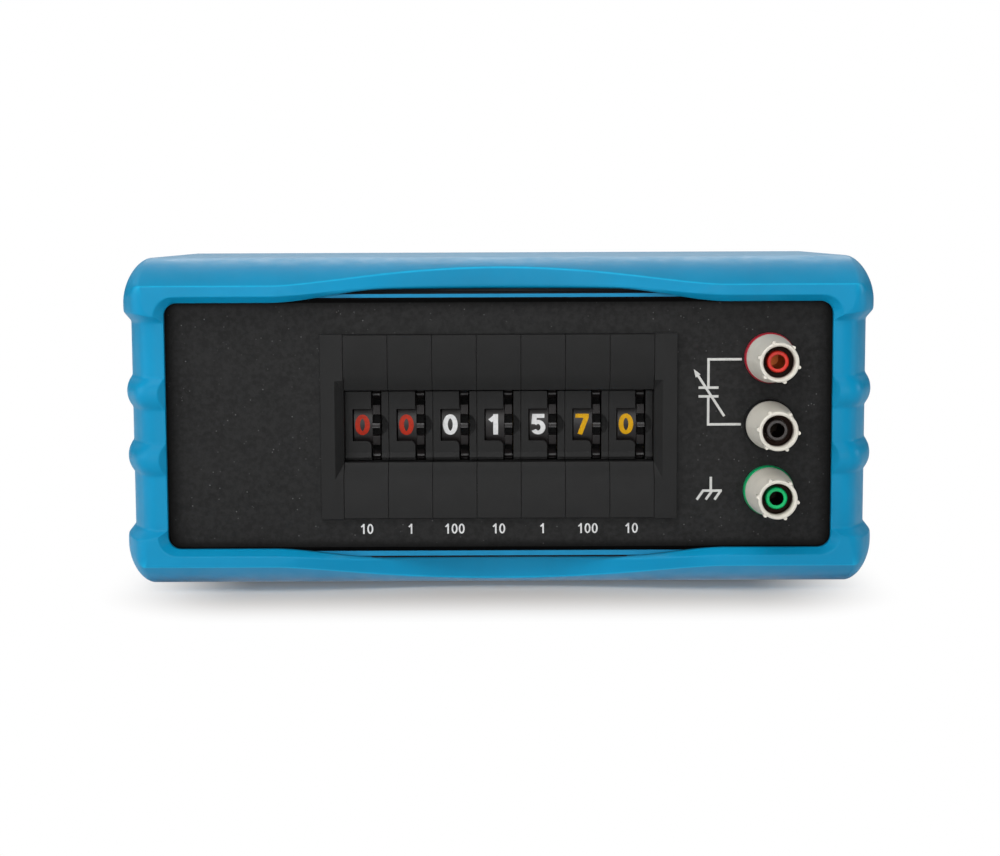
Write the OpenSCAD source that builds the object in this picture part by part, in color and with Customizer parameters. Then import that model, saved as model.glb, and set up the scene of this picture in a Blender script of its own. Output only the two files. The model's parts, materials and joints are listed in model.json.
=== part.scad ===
// Capacitance decade box: seven thumbwheel switches and three binding posts
// on a black panel, in a two-shell case inside a moulded elastomer boot.
// Millimetres. X runs along the front, Y goes from the front to the back, Z is up.

/* [Boot] */
// Width of the boot over its corner bumpers
boot_w = 218; // [214:1:236]
// Height of the boot
boot_h = 95.4; // [95:0.2:104]
// Depth of the boot from front to back
boot_d = 130; // [124:1:180]
// Half width of the opening in front of the panel
lip_w = 94.6; // [94:0.1:95.2]
// Half height of the opening in front of the panel
lip_h = 35.15; // [34.5:0.05:35.4]
// Half width of the front face, out to its ridge
ridge_w = 102.3; // [101:0.1:103.5]
// Half height of the front face, up to its ridge
ridge_h = 39.9; // [39:0.1:41]
// How far the front is cut back at the middle of the top and the bottom
scallop_depth = 8.8; // [8:0.1:11.5]
// Half width of the cut back stretch
scallop_half = 64; // [56:1:70]
// Height by which the bumpers and the top stand over the side recesses
bumper_rise = 2.1; // [1.5:0.1:3]
// Height of the two grip ribs on each side
grip_rise = 1.6; // [0.8:0.1:2]
// Height of each grip rib over or under the middle
grip_z = 9.4; // [8:0.1:12]
// Depth of the relief moulded into the inside of the boot
relief = 5; // [3:0.5:5.5]

/* [Case and panels] */
// Half width of the case
case_w = 98; // [97.5:0.1:98.4]
// Half height of the case
case_h = 37.8; // [37.4:0.1:38]
// Wall of the case shells
case_wall = 1.8; // [1.5:0.1:2]
// Corner radius of the case
case_r = 6; // [5:0.5:7]
// Thickness of the front and rear panels
panel_t = 2; // [1.5:0.1:2.5]
// How far the panels lie behind the ends of the case
panel_inset = 3; // [2.5:0.1:4]

/* [Switch bank] */
// Number of decades
decades = 7; // [7:1:7]
// Width of one thumbwheel module
pitch = 12.7; // [12.7:0.1:12.9]
// Height of the middle of the bank over the middle of the case
bank_z = -0.6; // [-1:0.1:1]
// Half height of the bezel
bezel_h = 26.6; // [26:0.1:27]
// How far the bezel stands over the panel
bezel_t = 1.5; // [1.2:0.1:2]
// Half height of the finger recess at the bezel's front
recess_top = 15; // [14.5:0.1:15.5]
// Half height of the finger recess at its foot
recess_foot = 10.35; // [10:0.05:10.8]
// Depth of the recess face behind the panel face
recess_y = 4.5; // [4.2:0.1:4.8]
// Half height of the digit windows
window_h = 4.6; // [4.2:0.1:5]
// Depth of the wheel axis behind the panel face
wheel_y = 19; // [18.8:0.1:19.2]
// Radius of the digit drum
drum_r = 13.5; // [13:0.1:13.6]
// Radius over the finger teeth
teeth_r = 16; // [15.6:0.1:16]

/* [Binding posts] */
// Distance of the posts to the right of the middle
post_x = 77.2; // [76:0.1:79]
// Distance between two posts
post_pitch = 19.05; // [18.5:0.05:20]
// Height of the middle post over the middle of the case
post_z = -0.2; // [-1:0.1:1]
// How far a cap stands in front of the panel
cap_reach = 20.6; // [20:0.1:22]
// Radius of the socket for a 4 mm plug
socket_r = 2; // [1.98:0.01:2.02]
// Radius of a cap at its foot
cap_foot_r = 6.85; // [6.5:0.05:7]
// Radius of a cap's front ring
cap_ring_r = 5.6; // [5.4:0.05:5.8]

/* [Hidden] */
$fn = 64;

// Fit between two parts that touch and don't move
fit = 0.02;
// Radial clearance of a shaft that turns in its bore
running = 0.05;

// Places along Y, counted from the face of the front panel
boot_front = -7;
boot_mid = boot_front + boot_d / 2;
case_front = -panel_inset;
case_back = 2 * boot_mid - case_front;
rear_panel_y = case_back - panel_inset - panel_t;
// The whole box is moved so that its origin is the middle of its base
origin_shift = [0, (cap_reach - boot_front - boot_d) / 2, boot_h / 2];

// Boot outline
crest_run = 8;
crest_fall = 13;
crest_power = 2 / 1.75;
ridge_r = 1.5;
lip_r = 3;
lip_y = -4.6;
lip_back = case_front - 0.1;
bevel_side = 2.5;
bevel_top = 1.75;
bevel_least = 0.15;
top_run = 22;
side_run = 22;
brow_lift = 3.6;
brow_from = 36;
brow_to = 72;
bumper_z = 32.4;
bumper_foot_z = 29.7;
grip_half = 4.5;
cavity_w = case_w + 0.1;
cavity_h = case_h + 0.1;
cavity_r = case_r - 0.4;
lip_step = 0.4;
lip_t = 1.5;
station_gap = 0.25;

// Switch bank
bank_half = decades * pitch / 2;
bezel_w = 51;
bank_back = 38;
body_h = 25;
module_gap = 0.04;
module_w = pitch - module_gap;
window_x = [2.2, 7.6];
slot_x = [7.6, 10.5];
rim_x = [7.95, 10.2];
axle_r = 2.5;
rod_r = 1.5;
rod_y = 11.5;
rod_z = 19.6;
board_x = 11.1;
board_t = 1;
click = 36;

// Binding posts
collar_t = 2.5;
collar_r = 7.2;
barrel_r = 3.05;
shank_r = 2;
sleeve_front = 17.6;
barrel_front = 13.2;
washer_t = 0.9;
washer_r = 5.4;
posts = [
    ["red", 1, [0.75, 0.12, 0.16], [0.87, 0.22, 0.18], 46],
    ["black", 0, [0.1, 0.1, 0.1], [0.16, 0.11, 0.1], 55],
    ["green", -1, [0.03, 0.55, 0.35], [0.08, 0.7, 0.42], 52]
];

// Inside
board_z = -22.8;
pcb_t = 1.6;
boss_x = 90;
boss_y = [20, boot_mid * 2 - 20];
screw_r = 1.5;
screw_head_z = -14;

// Colours as they look on the real box
boot_blue = [0.07, 0.55, 0.77];
case_blue = [0.1, 0.5, 0.72];
panel_black = [0.13, 0.13, 0.13];
switch_black = [0.16, 0.16, 0.16];
wheel_black = [0.09, 0.09, 0.09];
ivory = [0.86, 0.84, 0.79];
steel = [0.72, 0.72, 0.74];
brass = [0.8, 0.66, 0.35];
board_green = [0.1, 0.36, 0.2];

// Moves a shape from panel coordinates to the base frame
module placed() {
    translate(origin_shift) children();
}

// Raises a drawing in X and Z into a slab between two depths
module slab(y0, y1) {
    translate([0, y1, 0])
        rotate([90, 0, 0])
            linear_extrude(y1 - y0) children();
}

// Raises a drawing in Y and Z into a bar between two X places
module bar_x(x0, x1) {
    translate([x0, 0, 0])
        rotate([90, 0, 90])
            linear_extrude(x1 - x0) children();
}

// Round bar along Y
module rod_along_y(y0, y1, r) {
    translate([0, y1, 0])
        rotate([90, 0, 0])
            cylinder(h = y1 - y0, r = r);
}

// Round bar along X
module rod_along_x(x0, x1, r) {
    translate([x0, 0, 0])
        rotate([0, 90, 0])
            cylinder(h = x1 - x0, r = r);
}

// Rectangle with round corners, centred
module round_rect(w, h, r) {
    square([w - 2 * r, h], center = true);
    square([w, h - 2 * r], center = true);
    for (sx = [-1, 1], sz = [-1, 1])
        translate([sx * (w / 2 - r), sz * (h / 2 - r)])
            circle(r = r);
}

// Box given by its lowest and highest corners
module block(low, high) {
    translate(low) cube(high - low);
}

// The boot's outlines in one quarter are given at matching stations, from the
// top middle round the corner to the side middle. Each outline is a rounded
// rectangle with a half width w, a half height h and a corner radius r.

// Point of an outline on the top run, where u goes from 0 to 1
function on_top(w, h, r, u) = [(w - r) * u, h];
// Point of an outline on its corner, where a goes from 90 to 0 degrees
function on_corner(w, h, r, a) = [w - r + r * cos(a), h - r + r * sin(a)];

// Smooth step from 0 to 1
function smooth(t) = let (s = min(1, max(0, t))) s * s * (3 - 2 * s);

// How far the front face is cut back at a distance x from the middle
function scallop(x) = abs(x) >= scallop_half ? 0
    : scallop_depth * pow(cos(90 * x / scallop_half), 1.5);

// How far the lip lifts clear of the case at a distance x from the middle
function brow(x) = brow_lift * smooth((brow_to - abs(x)) / (brow_to - brow_from));

// Height of a grip rib's round back at a height z
function grip(z) =
    let (r = (grip_half * grip_half + grip_rise * grip_rise) / (2 * grip_rise))
    let (d = abs(abs(z) - grip_z))
    d >= grip_half ? 0 : sqrt(r * r - d * d) - (r - grip_rise);

// Height of the skin over the side recess at a height z
function skin(z) = abs(z) >= bumper_z - 0.01 ? bumper_rise
    : abs(z) > bumper_foot_z
        ? bumper_rise * (abs(z) - bumper_foot_z) / (bumper_z - bumper_foot_z)
        : grip(z);

// Stations: [kind, value], where a top station holds u, a corner station
// holds its angle and a side station holds its height
top_steps = 13;
corner_steps = 4;
grip_steps = 6;
side_heights = concat(
    [bumper_z, bumper_foot_z],
    [for (i = [0:grip_steps]) grip_z + grip_half - 2 * grip_half * i / grip_steps],
    [0]
);
quarter = concat(
    [for (i = [0:top_steps]) ["top", i / top_steps]],
    [for (i = [1:corner_steps]) ["corner", 90 - 90 * i / corner_steps]],
    [for (z = side_heights) ["side", z]]
);

// Point of an outline at a station
function at(st, w, h, r) =
    st[0] == "top" ? on_top(w, h, r, st[1])
    : st[0] == "corner" ? on_corner(w, h, r, st[1])
    : [w, min(st[1], h - r - station_gap)];

// Point of the crest, whose corners fall off steeply towards the sides
function crest_at(st, w, h) =
    st[0] == "top" ? on_top(w, h, crest_run, st[1])
    : st[0] == "side" ? at(st, w, h, crest_fall)
    : [
        w - crest_run * (1 - pow(cos(st[1]), crest_power)),
        h - crest_fall * (1 - pow(sin(st[1]), crest_power))
    ];

// Share of the way from the top's manner to the side's manner
function sideness(st) = st[0] == "top" ? 0 : st[0] == "side" ? 1 : smooth(1 - st[1] / 90);

// Front half of the boot's section at a station, from the middle of the
// inside round the lip to the crest, as points [x, y, z]
dome_steps = [0.07, 0.18, 0.34, 0.54, 0.77, 1];
function half_section(st) =
    let (s = sideness(st))
    let (x = at(st, ridge_w, ridge_h, ridge_r)[0])
    let (cut = s > 0 ? 0 : scallop(x))
    let (lift = s > 0 ? 0 : brow(x))
    let (low = st[0] == "side" ? bumper_rise - skin(st[1]) : 0)
    let (t = 1 - low / bumper_rise)
    let (face_y = boot_front + cut + low)
    let (open = bevel_least + (1 - bevel_least) * (1 - lift / brow_lift))
    let (bevel = (bevel_top + (bevel_side - bevel_top) * s) * t * open + 0.05)
    let (lip_z = lip_h + lift)
    let (lip_front = max(lip_y, face_y + lip_step))
    let (back_y = lip_z > cavity_h ? lip_front + lip_t : lip_back)
    let (inner = at(st, cavity_w, cavity_h, cavity_r))
    let (deep = at(st, cavity_w + relief, cavity_h + relief, cavity_r + relief))
    let (lip = at(st, lip_w, lip_z, lip_r))
    let (edge = at(st, lip_w + bevel, lip_z + bevel, lip_r + bevel))
    let (ridge = at(st, ridge_w - low, ridge_h, ridge_r))
    let (crest = crest_at(st, boot_w / 2 - low, boot_h / 2))
    let (run = top_run + (side_run - top_run) * s)
    let (q0 = cut / run)
    let (p = [for (d = dome_steps) q0 + (1 - q0) * d])
    let (rise = function (q) 1 - (1 - q) * (1 - q))
    let (foot = ridge + (crest - ridge) * rise(q0))
    concat(
        [[inner[0], boot_mid - 4, inner[1]], [deep[0], boot_mid - 8, deep[1]]],
        [[deep[0], 13, deep[1]], [inner[0], 10, inner[1]], [inner[0], back_y, inner[1]]],
        [[lip[0], back_y, lip[1]], [lip[0], lip_front, lip[1]], [edge[0], face_y, edge[1]]],
        [[foot[0], face_y, foot[1]]],
        [for (q = p)
            let (o = ridge + (crest - ridge) * rise(q))
            [o[0], boot_front + low * (1 - q) + run * q, o[1]]]
    );

// The whole section is the front half and its mirror image behind the middle
function whole_section(st) =
    let (h = half_section(st))
    concat(h, [for (i = [len(h) - 1:-1:0]) [h[i][0], 2 * boot_mid - h[i][1], h[i][2]]]);

function flipped(sec, sx, sz) = [for (p = sec) [p[0] * sx, p[1], p[2] * sz]];

// All the sections round the boot, clockwise as seen from the front
quarter_sections = [for (st = quarter) whole_section(st)];
last = len(quarter) - 1;
ring = concat(
    quarter_sections,
    [for (i = [last - 1:-1:0]) flipped(quarter_sections[i], 1, -1)],
    [for (i = [1:last]) flipped(quarter_sections[i], -1, -1)],
    [for (i = [last - 1:-1:1]) flipped(quarter_sections[i], -1, 1)]
);

// Skin of a closed ring of closed sections
module ring_loft(sections) {
    n = len(sections);
    m = len(sections[0]);
    corner = function (k, j) (k % n) * m + (j % m);
    polyhedron(
        points = [for (s = sections, p = s) p],
        faces = [for (k = [0:n - 1], j = [0:m - 1], half = [0, 1])
            half == 0 ? [corner(k, j), corner(k + 1, j), corner(k + 1, j + 1)]
                : [corner(k, j), corner(k + 1, j + 1), corner(k, j + 1)]]
    );
}

module protective_boot() {
    color(boot_blue) placed() ring_loft(ring);
}

// Outline of the case's tube, less the room inside
module case_outline() {
    difference() {
        round_rect(2 * case_w, 2 * case_h, case_r);
        round_rect(2 * (case_w - case_wall), 2 * (case_h - case_wall), case_r - case_wall);
    }
}

// Outline of a panel, which stands one millimetre into the case's grooves
panel_grip = 1;
module panel_outline(more) {
    out = panel_grip + more - case_wall;
    round_rect(2 * (case_w + out), 2 * (case_h + out), case_r + out);
}

// Rails that hold a panel from behind
module panel_rails() {
    rail = 1.4;
    in = case_wall + rail;
    difference() {
        round_rect(2 * (case_w - case_wall), 2 * (case_h - case_wall), case_r - case_wall);
        round_rect(2 * (case_w - in), 2 * (case_h - in), case_r - in);
    }
}

// One half of the case without its bosses: side is 1 for the top, -1 for the bottom
module half_tube(side) {
    intersection() {
        difference() {
            union() {
                slab(case_front, case_back) case_outline();
                slab(panel_t + fit, panel_t + 2) panel_rails();
                slab(rear_panel_y - 2, rear_panel_y - fit) panel_rails();
            }
            slab(-fit, panel_t + fit) panel_outline(fit);
            slab(rear_panel_y - fit, rear_panel_y + panel_t + fit) panel_outline(fit);
        }
        translate([-case_w - 1, case_front - 1, side > 0 ? fit : -case_h - 1])
            cube([2 * case_w + 2, case_back - case_front + 2, case_h + 1 - fit]);
    }
}

// Stiffening ribs across the inside of a shell
module shell_ribs(side) {
    rib_h = 2.5;
    rib_half_t = 0.6;
    rib_end = case_w - case_wall - 5;
    ceiling = case_h - case_wall;
    for (y = [52, boot_mid, 64, 102])
        mirror([0, 0, side > 0 ? 0 : 1])
            block([-rib_end, y - rib_half_t, ceiling - rib_h], [rib_end, y + rib_half_t, ceiling + 0.1]);
}

module top_shell() {
    boss_r = 3.6;
    color(case_blue) placed()
        difference() {
            union() {
                half_tube(1);
                shell_ribs(1);
                for (sx = [-1, 1], y = boss_y)
                    translate([sx * boss_x, y, fit])
                        cylinder(h = case_h - case_wall / 2, r = boss_r);
            }
            for (sx = [-1, 1], y = boss_y)
                translate([sx * boss_x, y, -1])
                    cylinder(h = 14, r = screw_r + fit);
        }
}

module bottom_shell() {
    boss_r = 4.4;
    board_boss_r = 3;
    color(case_blue) placed()
        difference() {
            union() {
                half_tube(-1);
                shell_ribs(-1);
                for (sx = [-1, 1], y = boss_y)
                    translate([sx * boss_x, y, -case_h + case_wall / 2])
                        cylinder(h = case_h - case_wall / 2 - fit, r = boss_r);
                for (sx = [-1, 1], y = board_screw_y)
                    translate([sx * board_screw_x, y, -case_h + case_wall / 2])
                        cylinder(h = board_z + case_h - case_wall / 2, r = board_boss_r);
            }
            for (sx = [-1, 1], y = boss_y) {
                translate([sx * boss_x, y, -case_h - 1])
                    cylinder(h = case_h + 2, r = screw_r + 0.2);
                translate([sx * boss_x, y, -case_h - 1])
                    cylinder(h = screw_head_z + case_h + 1, r = 3.2);
            }
            for (sx = [-1, 1], y = board_screw_y)
                translate([sx * board_screw_x, y, board_z - 8])
                    cylinder(h = 9, r = 1.25 + fit);
        }
}

// Cross-recess screw that stands on its head, with its shank upwards
module pan_screw(r, head_r, head_h, length) {
    slot = r * 0.35;
    difference() {
        union() {
            cylinder(h = length, r = r);
            translate([0, 0, -head_h]) cylinder(h = head_h, r = head_r);
        }
        for (a = [0, 90])
            rotate([0, 0, a])
                translate([-head_r * 0.6, -slot, -head_h - 1])
                    cube([head_r * 1.2, 2 * slot, 1 + head_h * 0.55]);
    }
}

module case_screws() {
    color(steel) placed()
        for (sx = [-1, 1], y = boss_y)
            translate([sx * boss_x, y, screw_head_z])
                pan_screw(screw_r, 2.8, 2.2, 25);
}

module front_panel() {
    spigot_r = 4.1;
    color(panel_black) placed()
        difference() {
            slab(0, panel_t) panel_outline(0);
            translate([0, 0, bank_z])
                slab(-1, panel_t + 1)
                    square([2 * (bank_half + end_body) + 0.2, 2 * body_h + 0.2], center = true);
            for (p = posts)
                translate([post_x, 0, post_z + p[1] * post_pitch])
                    rod_along_y(-1, panel_t + 1, spigot_r);
        }
}

module rear_panel() {
    color(panel_black) placed()
        slab(rear_panel_y, rear_panel_y + panel_t) panel_outline(0);
}

// Left edge of a module, where i counts from 0
function module_x(i) = -bank_half + i * pitch + module_gap / 2;
// Width of an end cap behind the panel
end_body = 5.2;

// Side view of a housing: bezel, chamfers, recess face with a sill and shadow grooves, and body
module housing_profile() {
    chamfer_y = 1;
    sill_y = recess_y - 0.8;
    sill_low = -recess_foot + 1;
    sill_top = -recess_foot + 2.4;
    groove_y = recess_y + 2;
    groove_low = recess_foot - 0.5;
    polygon([
        [0, -bezel_h], [-bezel_t, -bezel_h + 0.3], [-bezel_t, -recess_top], [chamfer_y, -recess_foot],
        [groove_y, -recess_foot], [groove_y, sill_low], [sill_y, sill_low],
        [sill_y, sill_low + 0.15], [recess_y, sill_top],
        [recess_y, groove_low], [groove_y, groove_low], [groove_y, recess_foot],
        [chamfer_y, recess_foot], [-bezel_t, recess_top], [-bezel_t, bezel_h - 0.3],
        [0, bezel_h], [0, body_h], [bank_back, body_h], [bank_back, -body_h], [0, -body_h]
    ]);
}

// Room inside a housing, seen from the side
module housing_room() {
    wall = 1.6;
    back = bank_back - wall;
    top = body_h - 2;
    polygon([
        [8, -16.6], [0.6, -16.6], [0.6, -top], [back, -top],
        [back, top], [0.6, top], [0.6, 16.6], [8, 16.6]
    ]);
}

module switch_housing(i) {
    land_r = 1.5;
    scoop_x = 9;
    scoop_depth = 1.4;
    scoop_half = 3.45;
    scoop_r = (scoop_half * scoop_half + scoop_depth * scoop_depth) / (2 * scoop_depth);
    color(switch_black) placed()
        translate([module_x(i), 0, bank_z])
            difference() {
                bar_x(0, module_w) housing_profile();
                bar_x(2, module_w + 1) housing_room();
                // Room for the drum and for the toothed rim
                translate([0, wheel_y, 0]) rod_along_x(2, slot_x[1], drum_r + 0.4);
                translate([0, wheel_y, 0]) rod_along_x(slot_x[0], slot_x[1], teeth_r + 0.4);
                // Digit window and thumb slot
                slab(recess_y - 1, wheel_y)
                    translate([window_x[0], -window_h])
                        square([window_x[1] - window_x[0] + 0.1, 2 * window_h]);
                slab(recess_y - 4, wheel_y)
                    translate([slot_x[0], -recess_foot])
                        square([slot_x[1] - slot_x[0], 2 * recess_foot]);
                // Round corner of the land under the window
                slab(recess_y - 1, wheel_y)
                    difference() {
                        translate([slot_x[0] - land_r, -window_h - land_r])
                            square([land_r + 0.05, land_r + 0.05]);
                        translate([slot_x[0] - land_r, -window_h - land_r])
                            circle(r = land_r);
                    }
                // Shallow scoop for the thumb beside the slot
                translate([scoop_x, recess_y + scoop_depth - scoop_r, 0]) sphere(r = scoop_r);
                // Bearing for the wheel's axle and holes for the tie rods
                translate([0, wheel_y, 0]) rod_along_x(-1, 3, axle_r + running);
                for (s = [-1, 1])
                    translate([0, rod_y, s * rod_z]) rod_along_x(-1, 3, rod_r + fit);
                // Slot in the back for the contact board
                block([board_x - 0.2, bank_back - 3, -22.3], [module_w + 1, bank_back + 1, 22.3]);
            }
}

// The pocket that forms the bevel of an end cap, mitred to the chamfers
module end_bevel() {
    rise = [13.3, -15];
    foot = [10.35, -10.35];
    wide = 2.45;
    polyhedron(
        points = [
            [-wide, -bezel_t - 0.01, rise[1]], [0.1, -bezel_t - 0.01, rise[1]],
            [0.1, -bezel_t - 0.01, rise[0]], [-wide, -bezel_t - 0.01, rise[0]],
            [0, 1, foot[1]], [0.1, 1, foot[1]], [0.1, 1, foot[0]], [0, 1, foot[0]]
        ],
        faces = [
            [3, 2, 1, 0], [4, 5, 6, 7], [5, 4, 0, 1],
            [6, 5, 1, 2], [7, 6, 2, 3], [4, 7, 3, 0]
        ]
    );
}

// Left end cap of the bank: flange, bevel, body with a snap lug
module end_cap() {
    lug = 1;
    difference() {
        union() {
            slab(-bezel_t, 0)
                translate([-bezel_w + bank_half, -bezel_h])
                    square([bezel_w - bank_half - fit, 2 * bezel_h]);
            block([-end_body, 0, -body_h], [-fit, bank_back, body_h]);
            translate([0, 0, -6])
                linear_extrude(12)
                    polygon([[-end_body, panel_t + fit], [-end_body - lug, panel_t + fit], [-end_body, 8]]);
        }
        end_bevel();
        block([-end_body + 1.8, 4, -body_h + 6], [1, bank_back - 2, -14]);
        block([-end_body + 1.8, 4, 14], [1, bank_back - 2, body_h - 6]);
        translate([0, wheel_y, 0]) rod_along_x(-0.8, 1, axle_r + 0.5);
        for (s = [-1, 1])
            translate([0, rod_y, s * rod_z]) rod_along_x(-10, 1, rod_r + fit);
    }
}

module bank_end_left() {
    color(switch_black) placed()
        translate([-bank_half, 0, bank_z]) end_cap();
}

module bank_end_right() {
    color(switch_black) placed()
        translate([bank_half, 0, bank_z]) mirror([1, 0, 0]) end_cap();
}

// Thumbwheel: digit drum, rim with teeth and lower lobes between them, hub and axle
module number_wheel(i) {
    root_r = drum_r - 0.7;
    tooth_w = 1.3;
    lobe_w = 2.9;
    lobe_r = 14.6;
    color(wheel_black) placed()
        translate([module_x(i), wheel_y, bank_z]) {
            difference() {
                rod_along_x(2.4, rim_x[0], drum_r);
                rod_along_x(2, rim_x[0], drum_r - 1.6);
            }
            bar_x(rim_x[0], rim_x[1]) {
                circle(r = root_r);
                for (k = [0:9])
                    rotate(k * click) {
                        translate([-teeth_r, -tooth_w / 2]) square([teeth_r - root_r + 1, tooth_w]);
                        rotate(click / 2)
                            translate([-lobe_r, -lobe_w / 2]) square([lobe_r - root_r + 1, lobe_w]);
                    }
            }
            rod_along_x(2.4, rim_x[0], 4.5);
            rod_along_x(0.5, 2.4, axle_r);
            rod_along_x(rim_x[1], 12.3, axle_r);
        }
}

// Brass wiper on the right face of a wheel, with two sprung fingers
module contact_wiper(i) {
    sheet = 0.3;
    color(brass) placed()
        translate([module_x(i) + rim_x[1], wheel_y, bank_z]) {
            bar_x(0, sheet)
                difference() {
                    union() {
                        circle(r = 5.5);
                        for (a = [60, 240])
                            rotate(a) translate([0, -1.4]) square([10.5, 2.8]);
                    }
                    circle(r = axle_r);
                }
            for (a = [60, 240])
                rotate([a, 0, 0])
                    translate([0, 9.2, 0])
                        bar_x(sheet, sheet + 0.25) circle(r = 0.9);
        }
}

// One leaf spring over the rim of each wheel
module detent_springs() {
    leaf = 0.35;
    color(steel) placed()
        for (i = [0:decades - 1])
            translate([module_x(i), wheel_y, bank_z])
                bar_x(8.2, 9.9)
                    polygon([
                        [-5, 22.9], [17, 22.9], [17, 22.9 - leaf], [3, 20], [1, 16.6], [0, 16.4],
                        [-1, 16.6], [0.2, 17], [2.6, 20.4], [9, 22.2], [-5, 22.2]
                    ]);
}

// Printed contact board at the right of each wheel
module contact_boards() {
    half = 22;
    back = 50;
    color(board_green) placed()
        for (i = [0:decades - 1])
            translate([module_x(i), 0, bank_z])
                difference() {
                    union() {
                        block([board_x, 8.4, -half], [board_x + board_t, back, half]);
                        for (k = [0:5])
                            translate([board_x + board_t, back - 3, -12.5 + 5 * k])
                                rod_along_x(0, 0.3, 1.1);
                    }
                    translate([0, wheel_y, 0]) rod_along_x(board_x - 1, board_x + 2, axle_r + running);
                    for (s = [-1, 1])
                        translate([0, rod_y, s * rod_z]) rod_along_x(board_x - 1, board_x + 2, rod_r + 0.1);
                }
}

module bank_tie_rods() {
    reach = bank_half + end_body + 3.4;
    color(steel) placed()
        for (s = [-1, 1])
            translate([0, rod_y, bank_z + s * rod_z]) rod_along_x(-reach, reach, rod_r);
}

// Hexagon nut along X with its foot at 0
module nut_x(flats, t, bore) {
    difference() {
        rotate([0, 90, 0]) cylinder(h = t, r = flats / sqrt(3), $fn = 6);
        rod_along_x(-1, t + 1, bore);
    }
}

module tie_rod_nuts() {
    foot = bank_half + end_body + fit;
    color(steel) placed()
        for (sx = [-1, 1], s = [-1, 1])
            translate([sx * foot, rod_y, bank_z + s * rod_z])
                mirror([sx < 0 ? 1 : 0, 0, 0]) nut_x(5.5, 2.4, rod_r + fit);
}

// Places a shape at one binding post
module at_post(p) {
    placed() translate([post_x, 0, post_z + p[1] * post_pitch]) children();
}

// Turns a drawing of radius and distance in front of the panel round the post's axis
module turned() {
    rotate([90, 0, 0]) rotate_extrude() children();
}

// Screw cap: turned body with a socket mouth and six ribs
module post_cap(p) {
    foot = collar_t + 0.1;
    flange = 4.6;
    mouth_r = 4.55;
    mouth = 6.6;
    rib_r = 0.5;
    color(ivory) at_post(p) {
        difference() {
            turned()
                polygon([
                    [0, foot], [cap_foot_r - 0.3, foot], [cap_foot_r, foot + 0.3], [cap_foot_r, flange],
                    [cap_foot_r - 0.3, flange + 0.15], [cap_ring_r + 0.05, 16.4], [cap_ring_r, 17],
                    [cap_ring_r, cap_reach - 0.25], [cap_ring_r - 0.25, cap_reach], [0, cap_reach]
                ]);
            rod_along_y(-cap_reach - 1, -cap_reach + mouth, mouth_r);
            rod_along_y(-cap_reach, 0, barrel_r + running);
            rod_along_y(-foot - 1.2, 0, washer_r + 0.3);
        }
        for (k = [0:5])
            rotate([0, -p[4] - 60 * k, 0])
                translate([cap_ring_r + 0.1, 0, 0])
                    rod_along_y(-cap_reach + 0.2, -9, rib_r);
    }
}

// Captive washer that clamps a wire
module post_washer(p) {
    foot = collar_t + 0.15;
    color(steel) at_post(p)
        difference() {
            rod_along_y(-foot - washer_t, -foot, washer_r);
            rod_along_y(-foot - 2, 0, barrel_r + running);
        }
}

// Coloured insulating collar with a spigot in the panel
module post_collar(p) {
    color(p[2]) at_post(p)
        difference() {
            union() {
                turned()
                    polygon([[0, 0], [collar_r, 0], [collar_r, collar_t - 0.4],
                        [collar_r - 0.4, collar_t], [0, collar_t]]);
                rod_along_y(-0.1, panel_t - 0.1, 4.08);
            }
            rod_along_y(-10, 10, shank_r + fit);
        }
}

// Coloured sleeve over the nose of the stud
module post_sleeve(p) {
    color(p[3]) at_post(p)
        difference() {
            turned()
                polygon([
                    [0, barrel_front + fit], [barrel_r, barrel_front + fit], [barrel_r, sleeve_front - 0.3],
                    [barrel_r - 0.3, sleeve_front], [0, sleeve_front]
                ]);
            rod_along_y(-sleeve_front - 1, 0, socket_r);
            rod_along_y(-sleeve_front + 0.8, 0, 2.5 + fit);
        }
}

// Stud: threaded barrel with the socket, nose and rear shank
module post_stud(p) {
    shoulder = collar_t + fit;
    color(brass) at_post(p)
        difference() {
            union() {
                rod_along_y(-barrel_front, -shoulder, barrel_r);
                rod_along_y(-sleeve_front + 0.8 + fit, -shoulder, 2.5);
                rod_along_y(-shoulder - 1, 20, shank_r);
            }
            rod_along_y(-sleeve_front - 1, -shoulder - 1.5, socket_r);
        }
}

bush_t = 3;
nut_t = 3;
tag_t = 0.6;
bush_y = panel_t + fit;
nut_y = bush_y + bush_t + fit;
tag_y = nut_y + nut_t + fit;
nut2_y = tag_y + tag_t + fit;

module post_bushes() {
    color(panel_black)
        for (p = posts)
            at_post(p)
                difference() {
                    rod_along_y(bush_y, bush_y + bush_t, 6);
                    rod_along_y(0, 10, shank_r + fit);
                }
}

module post_nuts() {
    color(brass)
        for (p = posts, y = [nut_y, nut2_y])
            at_post(p)
                translate([0, y, 0])
                    rotate([0, 0, 90])
                        nut_x(7, nut_t, shank_r + fit);
}

// Ring tag with a pierced tail that points down and inwards
module solder_tags() {
    color(steel)
        for (p = posts)
            at_post(p)
                slab(tag_y, tag_y + tag_t)
                    difference() {
                        union() {
                            circle(r = 4);
                            translate([-11, -1.6]) square([11, 3.2]);
                        }
                        circle(r = shank_r + fit);
                        translate([-9.4, 0]) circle(r = 0.8);
                    }
}

board_screw_x = 74;
board_screw_y = [60, 106];
pcb_half = 80;
pcb_y = [55, 111];

module capacitor_board() {
    color(board_green) placed()
        difference() {
            block([-pcb_half, pcb_y[0], board_z + fit], [pcb_half, pcb_y[1], board_z + pcb_t]);
            for (sx = [-1, 1], y = board_screw_y)
                translate([sx * board_screw_x, y, board_z - 1]) cylinder(h = 4, r = 1.4);
        }
}

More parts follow.
